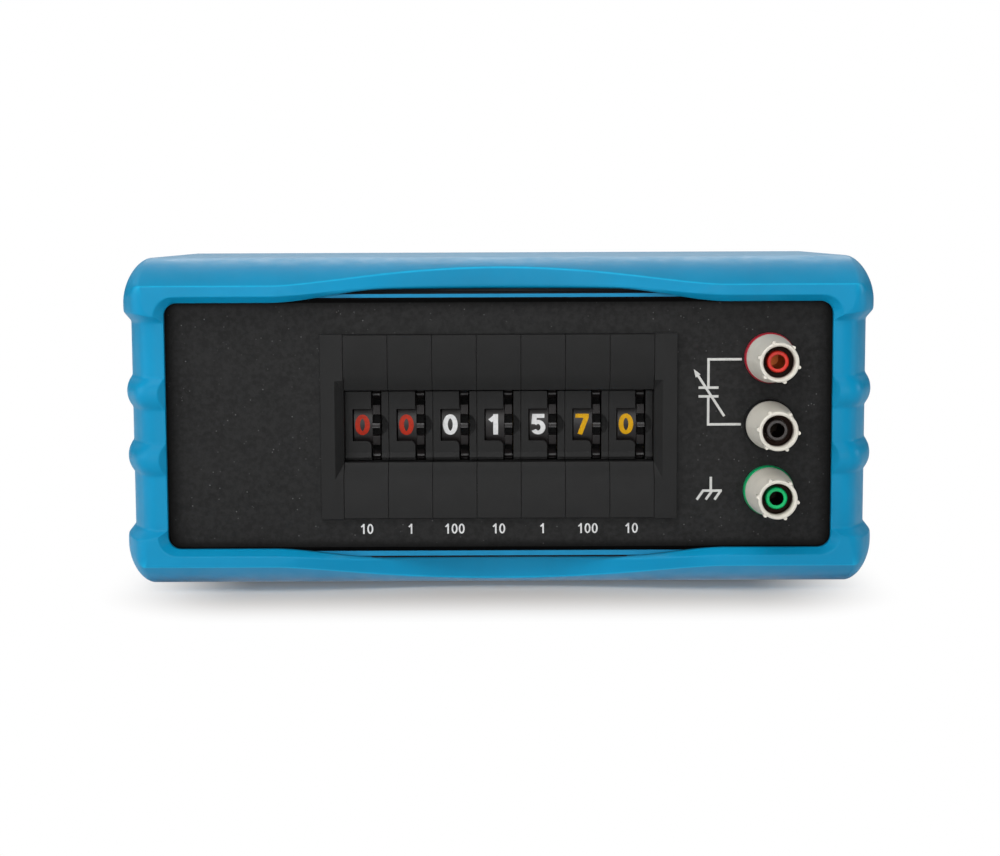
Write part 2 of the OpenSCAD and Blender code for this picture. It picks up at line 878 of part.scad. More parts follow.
// Boxed capacitor on two legs that stand on the board
module boxed_capacitor(size) {
    leg = 1.2;
    translate([-size[0] / 2, -size[1] / 2, leg]) cube(size);
    for (s = [-1, 1])
        translate([s * size[0] * 0.36, 0, 0]) cylinder(h = leg, r = 0.4, $fn = 16);
}

board_top = board_z + pcb_t + fit;

// Eight large film capacitors for the two highest decades
module large_film_capacitors() {
    color([0.75, 0.2, 0.12]) placed()
        for (i = [0:3], k = [0:1])
            translate([-52.5 + 35 * i, 92 + 12 * k, board_top])
                boxed_capacitor([31.5, 11, 20 + 2 * k]);
}

// Twelve small film capacitors for the three middle decades
module small_film_capacitors() {
    color([0.12, 0.25, 0.6]) placed()
        for (i = [0:5], k = [0:1])
            translate([-62 + 15 * i, 72 + 9 * k, board_top])
                boxed_capacitor([12.5, 5, 10]);
}

// Eight mica capacitors for the two lowest decades
module mica_capacitors() {
    color([0.6, 0.38, 0.2]) placed()
        for (i = [0:3], k = [0:1])
            translate([32 + 10 * i, 73 + 8 * k, board_top])
                boxed_capacitor([8, 4, 6]);
}

module board_screws() {
    color(steel) placed()
        for (sx = [-1, 1], y = board_screw_y)
            translate([sx * board_screw_x, y, board_z + pcb_t + fit])
                mirror([0, 0, 1]) pan_screw(1.25, 2.3, 1.8, 7);
}

// Point of a smooth curve through four points in a row, between the middle two
function curve_point(a, b, c, d, t) =
    0.5 * (2 * b + (c - a) * t + (2 * a - 5 * b + 4 * c - d) * t * t
        + (3 * b - a - 3 * c + d) * t * t * t);

// Smooth curve through a lead's corners
curve_steps = 5;
function curve(path) =
    let (n = len(path))
    let (p = function (i) path[min(n - 1, max(0, i))])
    concat(
        [for (i = [0:n - 2], k = [0:curve_steps - 1])
            curve_point(p(i - 1), p(i), p(i + 1), p(i + 2), k / curve_steps)],
        [path[n - 1]]
    );

// Ring of points round a place on a curve, across its direction
lead_sides = 8;
function lead_ring(at, along, r) =
    let (w = along / norm(along))
    let (u = cross(w, [1, 0.2, 0.1]) / norm(cross(w, [1, 0.2, 0.1])))
    let (v = cross(w, u))
    [for (k = [0:lead_sides - 1]) at + r * (u * cos(360 * k / lead_sides) + v * sin(360 * k / lead_sides))];

// Insulated lead swept along a smooth curve, from one face to another: the end
// rings lie square to the faces that they meet
module lead(path, r, first, final) {
    c = curve(path);
    n = len(c);
    m = lead_sides;
    rings = [for (i = [0:n - 1])
        lead_ring(c[i], i == 0 ? first : i == n - 1 ? final : c[i + 1] - c[i - 1], r)];
    polyhedron(
        points = [for (ring = rings, p = ring) p],
        faces = concat(
            [[for (k = [0:m - 1]) k]],
            [[for (k = [m - 1:-1:0]) (n - 1) * m + k]],
            [for (i = [0:n - 2], k = [0:m - 1])
                [i * m + k, (i + 1) * m + k, (i + 1) * m + (k + 1) % m, i * m + (k + 1) % m]]
        )
    );
}

// Leads from the solder tags to the edge of the capacitor board
module post_leads() {
    lead_r = 0.9;
    for (p = posts)
        color(p[2]) placed() {
            z = post_z + p[1] * post_pitch;
            x = post_x - 10.4;
            own = x + 4 * p[1];
            lead([
                [x, tag_y + tag_t + fit, z], [x, 23, z], [own, 36 - 2 * p[1], z * 0.4 - 7],
                [own, 52, -12], [own, 57.5, board_top]
            ], lead_r, [0, 1, 0], [0, 0, -1]);
        }
}

// Leads from the contact boards down to the capacitor board
module bank_leads() {
    lead_r = 0.7;
    color([0.85, 0.8, 0.2]) placed()
        for (i = [0:decades - 1]) {
            x = module_x(i) + board_x + board_t / 2;
            lead([
                [x, 50 + fit, bank_z - 12.5], [x, 54, bank_z - 13],
                [x, 58, -17], [x, 58.5, board_top]
            ], lead_r, [0, 1, 0], [0, 0, -1]);
        }
}

protective_boot();
top_shell();
bottom_shell();
case_screws();
front_panel();
rear_panel();
bank_end_left();
bank_end_right();
for (i = [1:decades]) {
    switch_housing(i - 1);
    number_wheel(i - 1);
    contact_wiper(i - 1);
}
detent_springs();
contact_boards();
bank_tie_rods();
tie_rod_nuts();
for (p = posts) {
    post_cap(p);
    post_washer(p);
    post_collar(p);
    post_sleeve(p);
    post_stud(p);
}
post_bushes();
post_nuts();
solder_tags();
capacitor_board();
large_film_capacitors();
small_film_capacitors();
mica_capacitors();
board_screws();
post_leads();
bank_leads();
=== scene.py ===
"""Looks of a thumbwheel capacitance decade box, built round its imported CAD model.

Sizes in the dataclasses are millimetres in the panel's own axes: X to the right, Y from the
face of the front panel to the back, Z up from the middle of the boot. A Datum turns them into
the metres of the shared frame.
"""

import json
import logging
import math
from dataclasses import dataclass
from enum import Enum
from typing import Iterable, Protocol, Sequence

import bmesh
import bpy
import numpy as np
from mathutils import Matrix, Vector

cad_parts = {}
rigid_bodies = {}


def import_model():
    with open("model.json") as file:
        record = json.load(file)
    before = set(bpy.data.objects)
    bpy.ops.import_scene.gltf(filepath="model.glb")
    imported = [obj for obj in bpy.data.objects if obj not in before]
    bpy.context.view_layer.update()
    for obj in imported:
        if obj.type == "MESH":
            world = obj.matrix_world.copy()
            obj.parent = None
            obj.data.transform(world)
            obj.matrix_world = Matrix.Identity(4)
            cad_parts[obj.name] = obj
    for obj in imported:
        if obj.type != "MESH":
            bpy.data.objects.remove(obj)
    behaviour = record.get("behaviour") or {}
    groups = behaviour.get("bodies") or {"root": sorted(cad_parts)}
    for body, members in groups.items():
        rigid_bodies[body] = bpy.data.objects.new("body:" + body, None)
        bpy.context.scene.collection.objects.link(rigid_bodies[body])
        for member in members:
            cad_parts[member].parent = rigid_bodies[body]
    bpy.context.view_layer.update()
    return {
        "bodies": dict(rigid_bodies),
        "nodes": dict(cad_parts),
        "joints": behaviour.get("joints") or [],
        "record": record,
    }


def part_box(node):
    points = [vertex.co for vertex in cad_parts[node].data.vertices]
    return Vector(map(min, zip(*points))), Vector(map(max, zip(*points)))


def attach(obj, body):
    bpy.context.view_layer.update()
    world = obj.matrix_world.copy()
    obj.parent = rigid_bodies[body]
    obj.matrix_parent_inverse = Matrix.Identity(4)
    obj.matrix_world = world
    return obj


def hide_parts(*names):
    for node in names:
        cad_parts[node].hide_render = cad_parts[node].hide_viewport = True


LOG = logging.getLogger("decade_box")
MM = 0.001
RGB = tuple[float, float, float]
XZ = tuple[float, float]
Point = tuple[float, float, float]
BLACK: RGB = (0.0, 0.0, 0.0)
WHITE = (1.0, 1.0, 1.0, 1.0)
BRASS: RGB = (0.78, 0.58, 0.28)
IVORY: RGB = (0.63, 0.6, 0.53)
PRINT_T = 0.04
PRINT_SINK = 0.012
NOISE_LOW, NOISE_HIGH = 0.35, 0.65


def smooth_step(t: np.ndarray | float) -> np.ndarray | float:
    """Rises smoothly from 0 to 1 as t goes from 0 to 1."""
    s = np.clip(t, 0.0, 1.0)
    return s * s * (3.0 - 2.0 * s)


@dataclass(frozen=True)
class Datum:
    """Place of the panel's axes in the shared frame, in metres."""

    origin: Vector

    @classmethod
    def from_frame(cls) -> "Datum":
        """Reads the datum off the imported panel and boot.

        Returns:
            The datum.
        """
        panel_low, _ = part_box("front_panel")
        boot_low, boot_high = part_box("protective_boot")
        middle = (boot_low + boot_high) / 2
        return cls(Vector((middle.x, panel_low.y, middle.z)))

    def metres(self, points: Iterable[Sequence[float]]) -> np.ndarray:
        """Turns panel millimetres into metres of the shared frame."""
        return np.asarray(list(points), float) * MM + np.array(self.origin)


class Signal:
    """A node's output with arithmetic: each operator adds one Math node to the tree."""

    def __init__(self, bench: "Bench", socket: bpy.types.NodeSocket) -> None:
        """Wraps one output socket.

        Args:
            bench: The builder of the tree that holds the socket.
            socket: The output that this signal carries.
        """
        self.bench = bench
        self.socket = socket

    def __add__(self, other: "Signal | float") -> "Signal":
        """Sum."""
        return self.bench.math("ADD", self, other)

    __radd__ = __add__

    def __sub__(self, other: "Signal | float") -> "Signal":
        """Difference."""
        return self.bench.math("SUBTRACT", self, other)

    def __rsub__(self, other: float) -> "Signal":
        """Difference from a number."""
        return self.bench.math("SUBTRACT", other, self)

    def __mul__(self, other: "Signal | float") -> "Signal":
        """Product."""
        return self.bench.math("MULTIPLY", self, other)

    __rmul__ = __mul__

    def __truediv__(self, other: "Signal | float") -> "Signal":
        """Quotient."""
        return self.bench.math("DIVIDE", self, other)

    def __pow__(self, other: "Signal | float") -> "Signal":
        """Power."""
        return self.bench.math("POWER", self, other)

    def __gt__(self, other: "Signal | float") -> "Signal":
        """1 where this signal is greater, else 0."""
        return self.bench.math("GREATER_THAN", self, other)

    def __lt__(self, other: "Signal | float") -> "Signal":
        """1 where this signal is less, else 0."""
        return self.bench.math("LESS_THAN", self, other)


class Bench:
    """Builds a node tree for a shader or for geometry, one node at a time."""

    def __init__(self, tree: bpy.types.NodeTree) -> None:
        """Takes over a tree and empties it.

        Args:
            tree: The tree to build.
        """
        self.tree = tree
        tree.nodes.clear()

    def node(
        self,
        kind: str,
        settings: dict[str, object] | None = None,
        inputs: dict[str | int, object] | None = None,
        output: str | int = 0,
    ) -> Signal:
        """Adds a node.

        Args:
            kind: The node's type.
            settings: Properties, which are set first.
            inputs: Values or signals by socket name or number.
            output: Name or number of the output that is returned.

        Returns:
            The chosen output, or an empty signal where the node has none.
        """
        made = self.tree.nodes.new(kind)
        for key, value in (settings or {}).items():
            setattr(made, key, value)
        for key, value in (inputs or {}).items():
            if isinstance(value, Signal):
                self.tree.links.new(value.socket, made.inputs[key])
            else:
                made.inputs[key].default_value = value
        return Signal(self, made.outputs[output] if len(made.outputs) else None)

    def math(self, operation: str, *values: "Signal | float", clamp: bool = False) -> Signal:
        """Adds a Math node."""
        settings = {"operation": operation, "use_clamp": clamp}
        return self.node("ShaderNodeMath", settings, dict(enumerate(values)))

    def vector(self, operation: str, *values: Signal | Point, output: str | int = 0) -> Signal:
        """Adds a Vector Math node."""
        settings = {"operation": operation}
        return self.node("ShaderNodeVectorMath", settings, dict(enumerate(values)), output)

    def ramp_up(self, value: Signal, start: float, end: float, least: float = 0.0) -> Signal:
        """Rises smoothly to 1.

        Args:
            value: What it depends on.
            start: The value at which it leaves its least.
            end: The value at which it reaches 1.
            least: What it is before the start.

        Returns:
            The ramp.
        """
        settings = {"clamp": True, "interpolation_type": "SMOOTHSTEP"}
        limits = {"From Min": start, "From Max": end, "To Min": least}
        return self.node("ShaderNodeMapRange", settings, {"Value": value, **limits})

    def blend(self, share: Signal, low: RGB | Signal, high: RGB | Signal) -> Signal:
        """Mixes two colours.

        Args:
            share: 0 gives the first colour, 1 the second.
            low: The first colour.
            high: The second colour.

        Returns:
            The mixed colour.
        """
        colors = [c if isinstance(c, Signal) else (*c, 1.0) for c in (low, high)]
        return self.node(
            "ShaderNodeMix", {"data_type": "RGBA"}, {0: share, 6: colors[0], 7: colors[1]}, 2
        )

    def group_input(self, name: str) -> Signal:
        """Gives a named input of the tree."""
        return self.node("NodeGroupInput", output=name)


class ShaderBench(Bench):
    """Builds one material round a Principled shader."""

    def __init__(self, name: str) -> None:
        """Makes an empty material.

        Args:
            name: The material's name.
        """
        self.material = bpy.data.materials.new(name)
        self.material.use_nodes = True
        super().__init__(self.material.node_tree)
        self.place = self.node("ShaderNodeTexCoord", output="Object")

    def noise(self, size: float, detail: float = 2.0, stretch: Point = (1.0, 1.0, 1.0)) -> Signal:
        """Noise on the piece's own place, between about 0.3 and 0.7.

        Args:
            size: Size of one patch in millimetres.
            detail: How many finer layers are added.
            stretch: How many times finer it is along each axis.

        Returns:
            The noise's value.
        """
        place = self.node(
            "ShaderNodeMapping", inputs={"Vector": self.place, "Scale": stretch}
        )
        return self.node(
            "ShaderNodeTexNoise",
            inputs={"Vector": place, "Scale": 1.0 / (size * MM), "Detail": detail},
        )

    def cells(self, size: float) -> Signal:
        """Distance to the nearest of scattered points, in shares of the points' spacing.

        Args:
            size: The points' spacing in millimetres.

        Returns:
            The distance.
        """
        return self.node(
            "ShaderNodeTexVoronoi",
            {"feature": "F1"},
            {"Vector": self.place, "Scale": 1.0 / (size * MM)},
        )

    def axis(self, index: int) -> Signal:
        """The piece's own X, Y or Z in millimetres of the shared frame."""
        parts = self.node("ShaderNodeSeparateXYZ", inputs={0: self.place}, output=index)
        return parts * (1.0 / MM)

    def spread(self, noise: Signal, low: float, high: float) -> Signal:
        """Maps the middle stretch of a noise to a range of values."""
        limits = {"From Min": NOISE_LOW, "From Max": NOISE_HIGH, "To Min": low, "To Max": high}
        return self.node("ShaderNodeMapRange", {"clamp": True}, {"Value": noise, **limits})

    def bump(self, height: Signal, depth: float) -> Signal:
        """Normal of a rough surface.

        Args:
            height: The relief's height, from 0 to 1.
            depth: What a height of 1 is in millimetres.

        Returns:
            The bent normal.
        """
        return self.node(
            "ShaderNodeBump", inputs={"Strength": 1.0, "Distance": depth * MM, "Height": height}
        )

    def finish(self, **sockets: object) -> bpy.types.Material:
        """Adds the shader and the output.

        Args:
            **sockets: Values or signals for the shader's sockets, with _ for a space.

        Returns:
            The finished material.
        """
        inputs = {key.replace("_", " "): value for key, value in sockets.items()}
        if "IOR Level" in inputs:
            inputs["Specular IOR Level"] = inputs.pop("IOR Level")
        shader = self.node("ShaderNodeBsdfPrincipled", inputs=inputs)
        self.node("ShaderNodeOutputMaterial", inputs={"Surface": shader})
        return self.material


def shaded(color: RGB, factor: float) -> RGB:
    """A colour made darker or lighter by a factor."""
    return tuple(min(1.0, c * factor) for c in color)


class Finish(Protocol):
    """What every finish can do."""

    def build(self) -> bpy.types.Material:
        """Makes the material."""


@dataclass(frozen=True)
class MouldedElastomer:
    """Satin elastomer with a fine moulded grain, a painted highlight along the ridge and painted
    shade inside and on the lifted lip.
    """

    name: str
    color: RGB
    # ridge is the colour of the painted highlight along the ridge, inside that of the painted shade
    ridge: RGB
    inside: RGB = (0.004, 0.008, 0.012)
    roughness: float = 0.4
    gloss: float = 0.15
    cloud: float = 26.0
    scuff: float = 5.0
    grain: float = 0.32
    grain_depth: float = 0.006

    def build(self) -> bpy.types.Material:
        """Makes the material.

        Returns:
            The material, ready for a piece.
        """
        b = ShaderBench(self.name)
        cloud = b.noise(self.cloud, 3.0)
        scuffs = b.noise(self.scuff, 4.0)
        grain = b.noise(self.grain, 2.0)
        # The tone attribute paints a highlight where it is above 0 and shade where it is below 0
        tone = b.node("ShaderNodeAttribute", {"attribute_name": "tone"}, output="Fac")
        rubbed = b.math("MULTIPLY", tone, b.spread(scuffs, 0.75, 1.0), clamp=True)
        painted_shade = b.math("MULTIPLY", tone, -1.0, clamp=True)
        clouded = b.blend(
            b.spread(cloud, 0.0, 1.0), shaded(self.color, 0.95), shaded(self.color, 1.05)
        )
        return b.finish(
            Base_Color=b.blend(painted_shade, b.blend(rubbed, clouded, self.ridge), self.inside),
            Roughness=b.spread(scuffs, self.roughness - 0.04, self.roughness + 0.04),
            IOR_Level=self.gloss,
            Normal=b.bump(grain, self.grain_depth),
        )


@dataclass(frozen=True)
class SheathedPlastic:
    """Blue shell plastic, painted dark as shade and rougher where the boot covers it and at its
    rim's corners.
    """

    name: str
    color: RGB
    # Colour of the painted shade over the stretch of covered_half round middle_y and beyond
    # rim_half from middle_z
    covered: RGB
    middle_y: float
    covered_half: float
    middle_z: float
    rim_half: float
    cloud: float = 6.0
    grain: float = 0.2
    grain_depth: float = 0.006
    dust: float = 0.45
    gloss: float = 0.2

    def build(self) -> bpy.types.Material:
        """Makes the material.

        Returns:
            The material, ready for a piece.
        """
        b = ShaderBench(self.name)
        cloud = b.noise(self.cloud, 3.0)
        grain = b.noise(self.grain, 1.0)
        # Painted shade in the gap under the boot and on the rim's corners
        covered = b.math("ABSOLUTE", b.axis(1) - self.middle_y) < self.covered_half
        corner = b.math("ABSOLUTE", b.axis(2) - self.middle_z) > self.rim_half
        covered = b.math("MAXIMUM", covered, corner)
        tone = b.blend(b.spread(cloud, 0.0, 1.0), shaded(self.color, 0.95), self.color)
        return b.finish(
            Base_Color=b.blend(covered, tone, self.covered),
            Roughness=covered * self.dust + b.spread(grain, 0.42, 0.54),
            IOR_Level=self.gloss,
            Normal=b.bump(grain, self.grain_depth),
        )


@dataclass(frozen=True)
class ToothedPlastic:
    """Glossy black plastic of the wheels: dull with painted shade in the finger pockets, painted
    highlights on the teeth.
    """

    name: str
    color: RGB
    # Colour of the painted highlights on the teeth's edges
    rubbed: RGB
    axis_y: float
    axis_z: float
    first_x: float
    pitch: float
    rim_x: float = 7.85
    pocket_r: float = 13.0
    lobe_r: float = 14.3
    tooth_r: float = 15.4
    edge_in: float = 0.4
    step_deg: float = 36.0
    roughness: float = 0.34
    pocket_dust: float = 0.6
    pocket_shade: float = 0.04
    gloss: float = 0.3
    scuff: float = 1.2
    scuff_depth: float = 0.002

    def build(self) -> bpy.types.Material:
        """Makes the material.

        Returns:
            The material, ready for a piece.
        """
        b = ShaderBench(self.name)
        x, y, z = b.axis(0) - self.first_x, b.axis(1) - self.axis_y, b.axis(2) - self.axis_z
        r = b.math("SQRT", y * y + z * z)
        turn = b.math("ARCTAN2", z, 0.0 - y)
        half = math.radians(self.step_deg / 2)
        side = b.math("ABSOLUTE", r * b.math("SINE", b.math("WRAP", turn, half, -half)))
        on_rim = b.math("FLOORED_MODULO", x, self.pitch) > self.rim_x
        # Painted shade, deepest at the floor of the finger pockets
        depth = (self.lobe_r - r) / (self.lobe_r - self.pocket_r)
        pocket = b.math("MULTIPLY", depth, on_rim, clamp=True)
        # Painted highlights along the teeth's edges
        edge = (side > self.edge_in) * (r > self.tooth_r) * on_rim
        scuffs = b.noise(self.scuff, 3.0)
        plain = b.blend(b.spread(scuffs, 0.0, 1.0), shaded(self.color, 0.9), self.color)
        highlighted = b.blend(edge * b.spread(scuffs, 0.5, 1.0), plain, self.rubbed)
        return b.finish(
            Base_Color=b.blend(pocket, highlighted, shaded(self.color, self.pocket_shade)),
            Roughness=pocket * self.pocket_dust + self.roughness,
            IOR_Level=self.gloss,
            Normal=b.bump(scuffs, self.scuff_depth),
        )


@dataclass(frozen=True)
class MouldedPlastic:
    """Hard moulded plastic with a spark-eroded grain."""

    name: str
    color: RGB
    roughness: float = 0.45
    grain: float = 0.2
    grain_depth: float = 0.006
    variation: float = 0.06
    gloss: float = 0.5
    cloud: float = 6.0

    def build(self) -> bpy.types.Material:
        """Makes the material.

        Returns:
            The material, ready for a piece.
        """
        b = ShaderBench(self.name)
        cloud = b.noise(self.cloud, 3.0)
        grain = b.noise(self.grain, 1.0)
        tone = b.blend(
            b.spread(cloud, 0.0, 1.0),
            shaded(self.color, 1.0 - self.variation),
            shaded(self.color, 1.0 + self.variation),
        )
        return b.finish(
            Base_Color=tone,
            Roughness=b.spread(grain, self.roughness - 0.04, self.roughness + 0.06),
            IOR_Level=self.gloss,
            Normal=b.bump(grain, self.grain_depth),
        )


@dataclass(frozen=True)
class TexturedPaint:
    """Black powder coat: a fine orange-peel relief with sparse pale specks, and painted shade near
    its edges.
    """

    name: str
    color: RGB
    speck: RGB
    peel: float = 0.55
    peel_depth: float = 0.03
    patch: float = 1.3
    cloud: float = 9.0
    speck_spacing: float = 1.6
    speck_share: float = 0.15
    bare_stretch: float = 2.3
    # Painted shade near the edges: the middle height, where it rises at the sides and the rim, its
    # strength and colour
    middle_z: float = 47.7
    side: tuple[float, float] = (90.0, 95.5)
    rim: tuple[float, float] = (32.8, 35.4)
    edge_share: float = 0.8
    edge_shade: float = 0.05
    gloss: float = 0.12

    def build(self) -> bpy.types.Material:
        """Makes the material.

        Returns:
            The material, ready for a piece.
        """
        b = ShaderBench(self.name)
        peel = b.noise(self.peel, 3.0)
        patches = b.noise(self.patch, 2.0)
        cloud = b.noise(self.cloud, 4.0)
        faint = b.cells(self.speck_spacing)
        near = b.math("SUBTRACT", 1.0, faint / self.speck_share, clamp=True)
        crowd = b.spread(b.noise(self.bare_stretch, 1.0), -1.2, 1.0)
        rare = b.math("MULTIPLY", crowd, 1.0, clamp=True)
        mottled = b.blend(
            b.spread(patches, 0.0, 1.0), shaded(self.color, 0.75), shaded(self.color, 1.3)
        )
        clouded = b.blend(b.spread(cloud, 0.0, 0.25), mottled, shaded(self.color, 1.4))
        speckled = b.blend(near * rare, clouded, self.speck)
        # Painted shade towards the sides and the rim, under the boot's lip
        side = b.ramp_up(b.math("ABSOLUTE", b.axis(0)), *self.side)
        rim = b.ramp_up(b.math("ABSOLUTE", b.axis(2) - self.middle_z), *self.rim)
        edge = b.math("MAXIMUM", side, rim) * self.edge_share
        return b.finish(
            Base_Color=b.blend(edge, speckled, shaded(self.color, self.edge_shade)),
            Roughness=b.spread(peel, 0.62, 0.5),
            IOR_Level=self.gloss,
            Normal=b.bump(peel, self.peel_depth),
        )


@dataclass(frozen=True)
class BareMetal:
    """Turned, stamped or plated metal with fine tool marks."""

    name: str
    color: RGB
    roughness: float = 0.3
    marks: Point = (1.0, 8.0, 8.0)
    mark: float = 0.6
    mark_depth: float = 0.004
    tarnish: float = 4.0
    tarnish_shade: float = 0.86

    def build(self) -> bpy.types.Material:
        """Makes the material.

        Returns:
            The material, ready for a piece.
        """
        b = ShaderBench(self.name)
        lines = b.noise(self.mark, 3.0, self.marks)
        tarnish = b.spread(b.noise(self.tarnish, 3.0), 0.0, 1.0)
        tone = b.blend(tarnish, shaded(self.color, self.tarnish_shade), self.color)
        return b.finish(
            Base_Color=tone,
            Metallic=1.0,
            Roughness=b.spread(lines, self.roughness - 0.08, self.roughness + 0.1),
            Normal=b.bump(lines, self.mark_depth),
        )


@dataclass(frozen=True)
class StudBrass:
    """Turned brass of a post's stud: bright where its cap slides, painted dark as shade in its
    socket.
    """

    name: str
    color: RGB
    # Colour painted in the socket and under the cap: shade, and on the red post the red sleeve's
    # reflection
    inside: RGB
    x: float
    bright_y: float
    z: float
    bore_r: float = 2.4
    roughness: float = 0.45
    polish: float = 0.14
    marks: Point = (1.0, 8.0, 8.0)
    mark: float = 0.6
    mark_depth: float = 0.004
    tarnish: float = 4.0
    tarnish_share: float = 0.14

    def build(self) -> bpy.types.Material:
        """Makes the material.

        Returns:
            The material, ready for a piece.
        """
        b = ShaderBench(self.name)
        x, z = b.axis(0) - self.x, b.axis(2) - self.z
        outside = b.math("SQRT", x * x + z * z) > self.bore_r
        # Outside this bright stretch the inside colour paints the socket's shade, and on the red
        # post the red sleeve's reflection
        bright = outside * (b.axis(1) > self.bright_y)
        lines = b.noise(self.mark, 3.0, self.marks)
        tarnish = b.spread(b.noise(self.tarnish, 3.0), self.tarnish_share, 0.0)
        plain = b.blend(bright, self.inside, self.color)
        rough = b.spread(lines, self.roughness - 0.08, self.roughness + 0.1)
        return b.finish(
            Base_Color=b.blend(tarnish, plain, BLACK),
            Metallic=1.0,
            Roughness=rough - bright * self.polish,
            Normal=b.bump(lines, self.mark_depth),
        )


@dataclass(frozen=True)
class CircuitLaminate:
    """Green solder mask with paler tracks that run along one axis."""

    name: str
    mask: RGB
    track: RGB
    along: int
    track_pitch: float = 2.54
    track_share: float = 0.4
    track_t: float = 0.03
    track_stop: float = 0.47
    fibre: float = 0.3

    def build(self) -> bpy.types.Material:
        """Makes the material.

        Returns:
            The material, ready for a piece.
        """
        b = ShaderBench(self.name)
        band = b.math("FRACT", b.axis(self.along) / self.track_pitch)
        on_track = (band < self.track_share) * (b.noise(12.0, 0.0) > self.track_stop)
        weave = b.noise(self.fibre, 1.0, (1.0, 1.0, 4.0))
        tone = b.blend(on_track, self.mask, self.track)
        return b.finish(
            Base_Color=b.blend(b.spread(weave, 0.0, 0.25), tone, shaded(self.mask, 0.6)),
            Roughness=b.spread(weave, 0.28, 0.4),
            Normal=b.bump(on_track, self.track_t),
        )


@dataclass(frozen=True)
class PrintedInk:
    """Opaque ink that lies thin on a moulded or painted face."""

    name: str
    color: RGB
    wear: float = 0.12
    patch: float = 0.7
    roughness: float = 0.5
    gloss: float = 0.15

    def build(self) -> bpy.types.Material:
        """Makes the material.

        Returns:
            The material, ready for a piece.
        """
        b = ShaderBench(self.name)
        coverage = b.spread(b.noise(self.patch, 3.0), 0.0, 1.0)
        tone = b.blend(coverage, shaded(self.color, 1.0 - self.wear), self.color)
        return b.finish(Base_Color=tone, Roughness=self.roughness, IOR_Level=self.gloss)


@dataclass(frozen=True)
class SootedWall:
    """Pale plastic at the rim of a mouth, painted dark brown towards its floor for the mouth's
    shade and its dark floor.
    """

    name: str
    rim: RGB
    deep: RGB
    rim_y: float
    deep_y: float
    stain: float = 1.5
    gloss: float = 0.1

    def build(self) -> bpy.types.Material:
        """Makes the material.

        Returns:
            The material, ready for a piece.
        """
        b = ShaderBench(self.name)
        stain = b.noise(self.stain, 3.0)
        # Painted shade from none at the rim to full at the floor, its edge varied by noise
        share = (b.axis(1) - self.rim_y) / (self.deep_y - self.rim_y) + b.spread(stain, -0.1, 0.1)
        inside = b.math("MULTIPLY", share, 1.0, clamp=True)
        return b.finish(
            Base_Color=b.blend(inside, self.rim, self.deep),
            Roughness=b.spread(stain, 0.5, 0.6),
            IOR_Level=self.gloss,
        )


FINISHES: dict[str, Finish] = {
    # The boot's second colour is the painted highlight along its ridge
    "boot_rubber": MouldedElastomer("BlueElastomer", (0.0005, 0.235, 0.44), (0.008, 0.38, 0.64)),
    "case_plastic": SheathedPlastic(
        "BlueCasePlastic", (0.002, 0.21, 0.41), (0.002, 0.004, 0.006),
        middle_y=6.8, covered_half=60.4, middle_z=47.7, rim_half=37.45,
    ),
    "panel_paint": TexturedPaint("PanelPowderCoat", (0.0138, 0.0138, 0.0138), (0.16, 0.16, 0.16)),
    "switch_plastic": MouldedPlastic("SwitchPlastic", (0.0098, 0.0098, 0.0098), 0.5, gloss=0.18),
    "wheel_plastic": ToothedPlastic(
        "WheelPlastic", (0.011, 0.009, 0.009), (0.09, 0.09, 0.09),
        axis_y=-32.2, axis_z=47.1, first_x=-44.43, pitch=12.7,
    ),
    "contact_brass": BareMetal("Brass", BRASS),
    # Wiper brass painted dark for the shade it lies in, deep in the slots
    "wiper_brass_in_shade": BareMetal("WiperBronze", (0.16, 0.12, 0.06), 0.5),
    "spring_steel": BareMetal("SpringSteel", (0.56, 0.56, 0.58), 0.28, (1.0, 1.0, 10.0)),
    "zinc_steel": BareMetal("ZincPlate", (0.62, 0.63, 0.65), 0.34, (3.0, 3.0, 3.0)),
    "circuit_board": CircuitLaminate("SolderMask", (0.015, 0.13, 0.05), (0.03, 0.24, 0.09), 2),
    "ivory_plastic": MouldedPlastic("IvoryPlastic", IVORY, 0.42, 0.3, 0.004, 0.03),
    "red_plastic": MouldedPlastic("RedPlastic", (0.33, 0.01, 0.024), 0.35, gloss=0.3),
    "black_plastic": MouldedPlastic("BlackPlastic", (0.006, 0.006, 0.006), 0.45, gloss=0.2),
    # Black of the band that stands for the shade round the front panel
    "shade_band_black": MouldedPlastic("SealRubber", (0.0012, 0.0012, 0.0012), 0.6, gloss=0.04),
    "green_plastic": MouldedPlastic("GreenPlastic", (0.001, 0.29, 0.1), 0.35, gloss=0.25),
    "red_sleeve": MouldedPlastic("RedSleeve", (0.62, 0.026, 0.015), 0.32, gloss=0.3),
    "black_sleeve": MouldedPlastic("BlackSleeve", (0.03, 0.024, 0.022), 0.32),
    "green_sleeve": MouldedPlastic("GreenSleeve", (0.001, 0.49, 0.15), 0.32, gloss=0.25),
    "film_red": MouldedPlastic("RedFilmBox", (0.5, 0.05, 0.02), 0.25),
    "film_blue": MouldedPlastic("BlueFilmBox", (0.02, 0.07, 0.36), 0.25),
    "mica_brown": MouldedPlastic("BrownDip", (0.3, 0.12, 0.04), 0.22),
    "lead_insulation": MouldedPlastic("LeadInsulation", (0.52, 0.4, 0.04), 0.4),
    "print_white": PrintedInk("WhiteInk", (0.69, 0.69, 0.69)),
    "symbol_ink": PrintedInk("SymbolInk", (0.57, 0.57, 0.55)),
    "print_red": PrintedInk("RedInk", (0.39, 0.022, 0.007)),
    "print_yellow": PrintedInk("YellowInk", (0.64, 0.335, 0.001)),
}


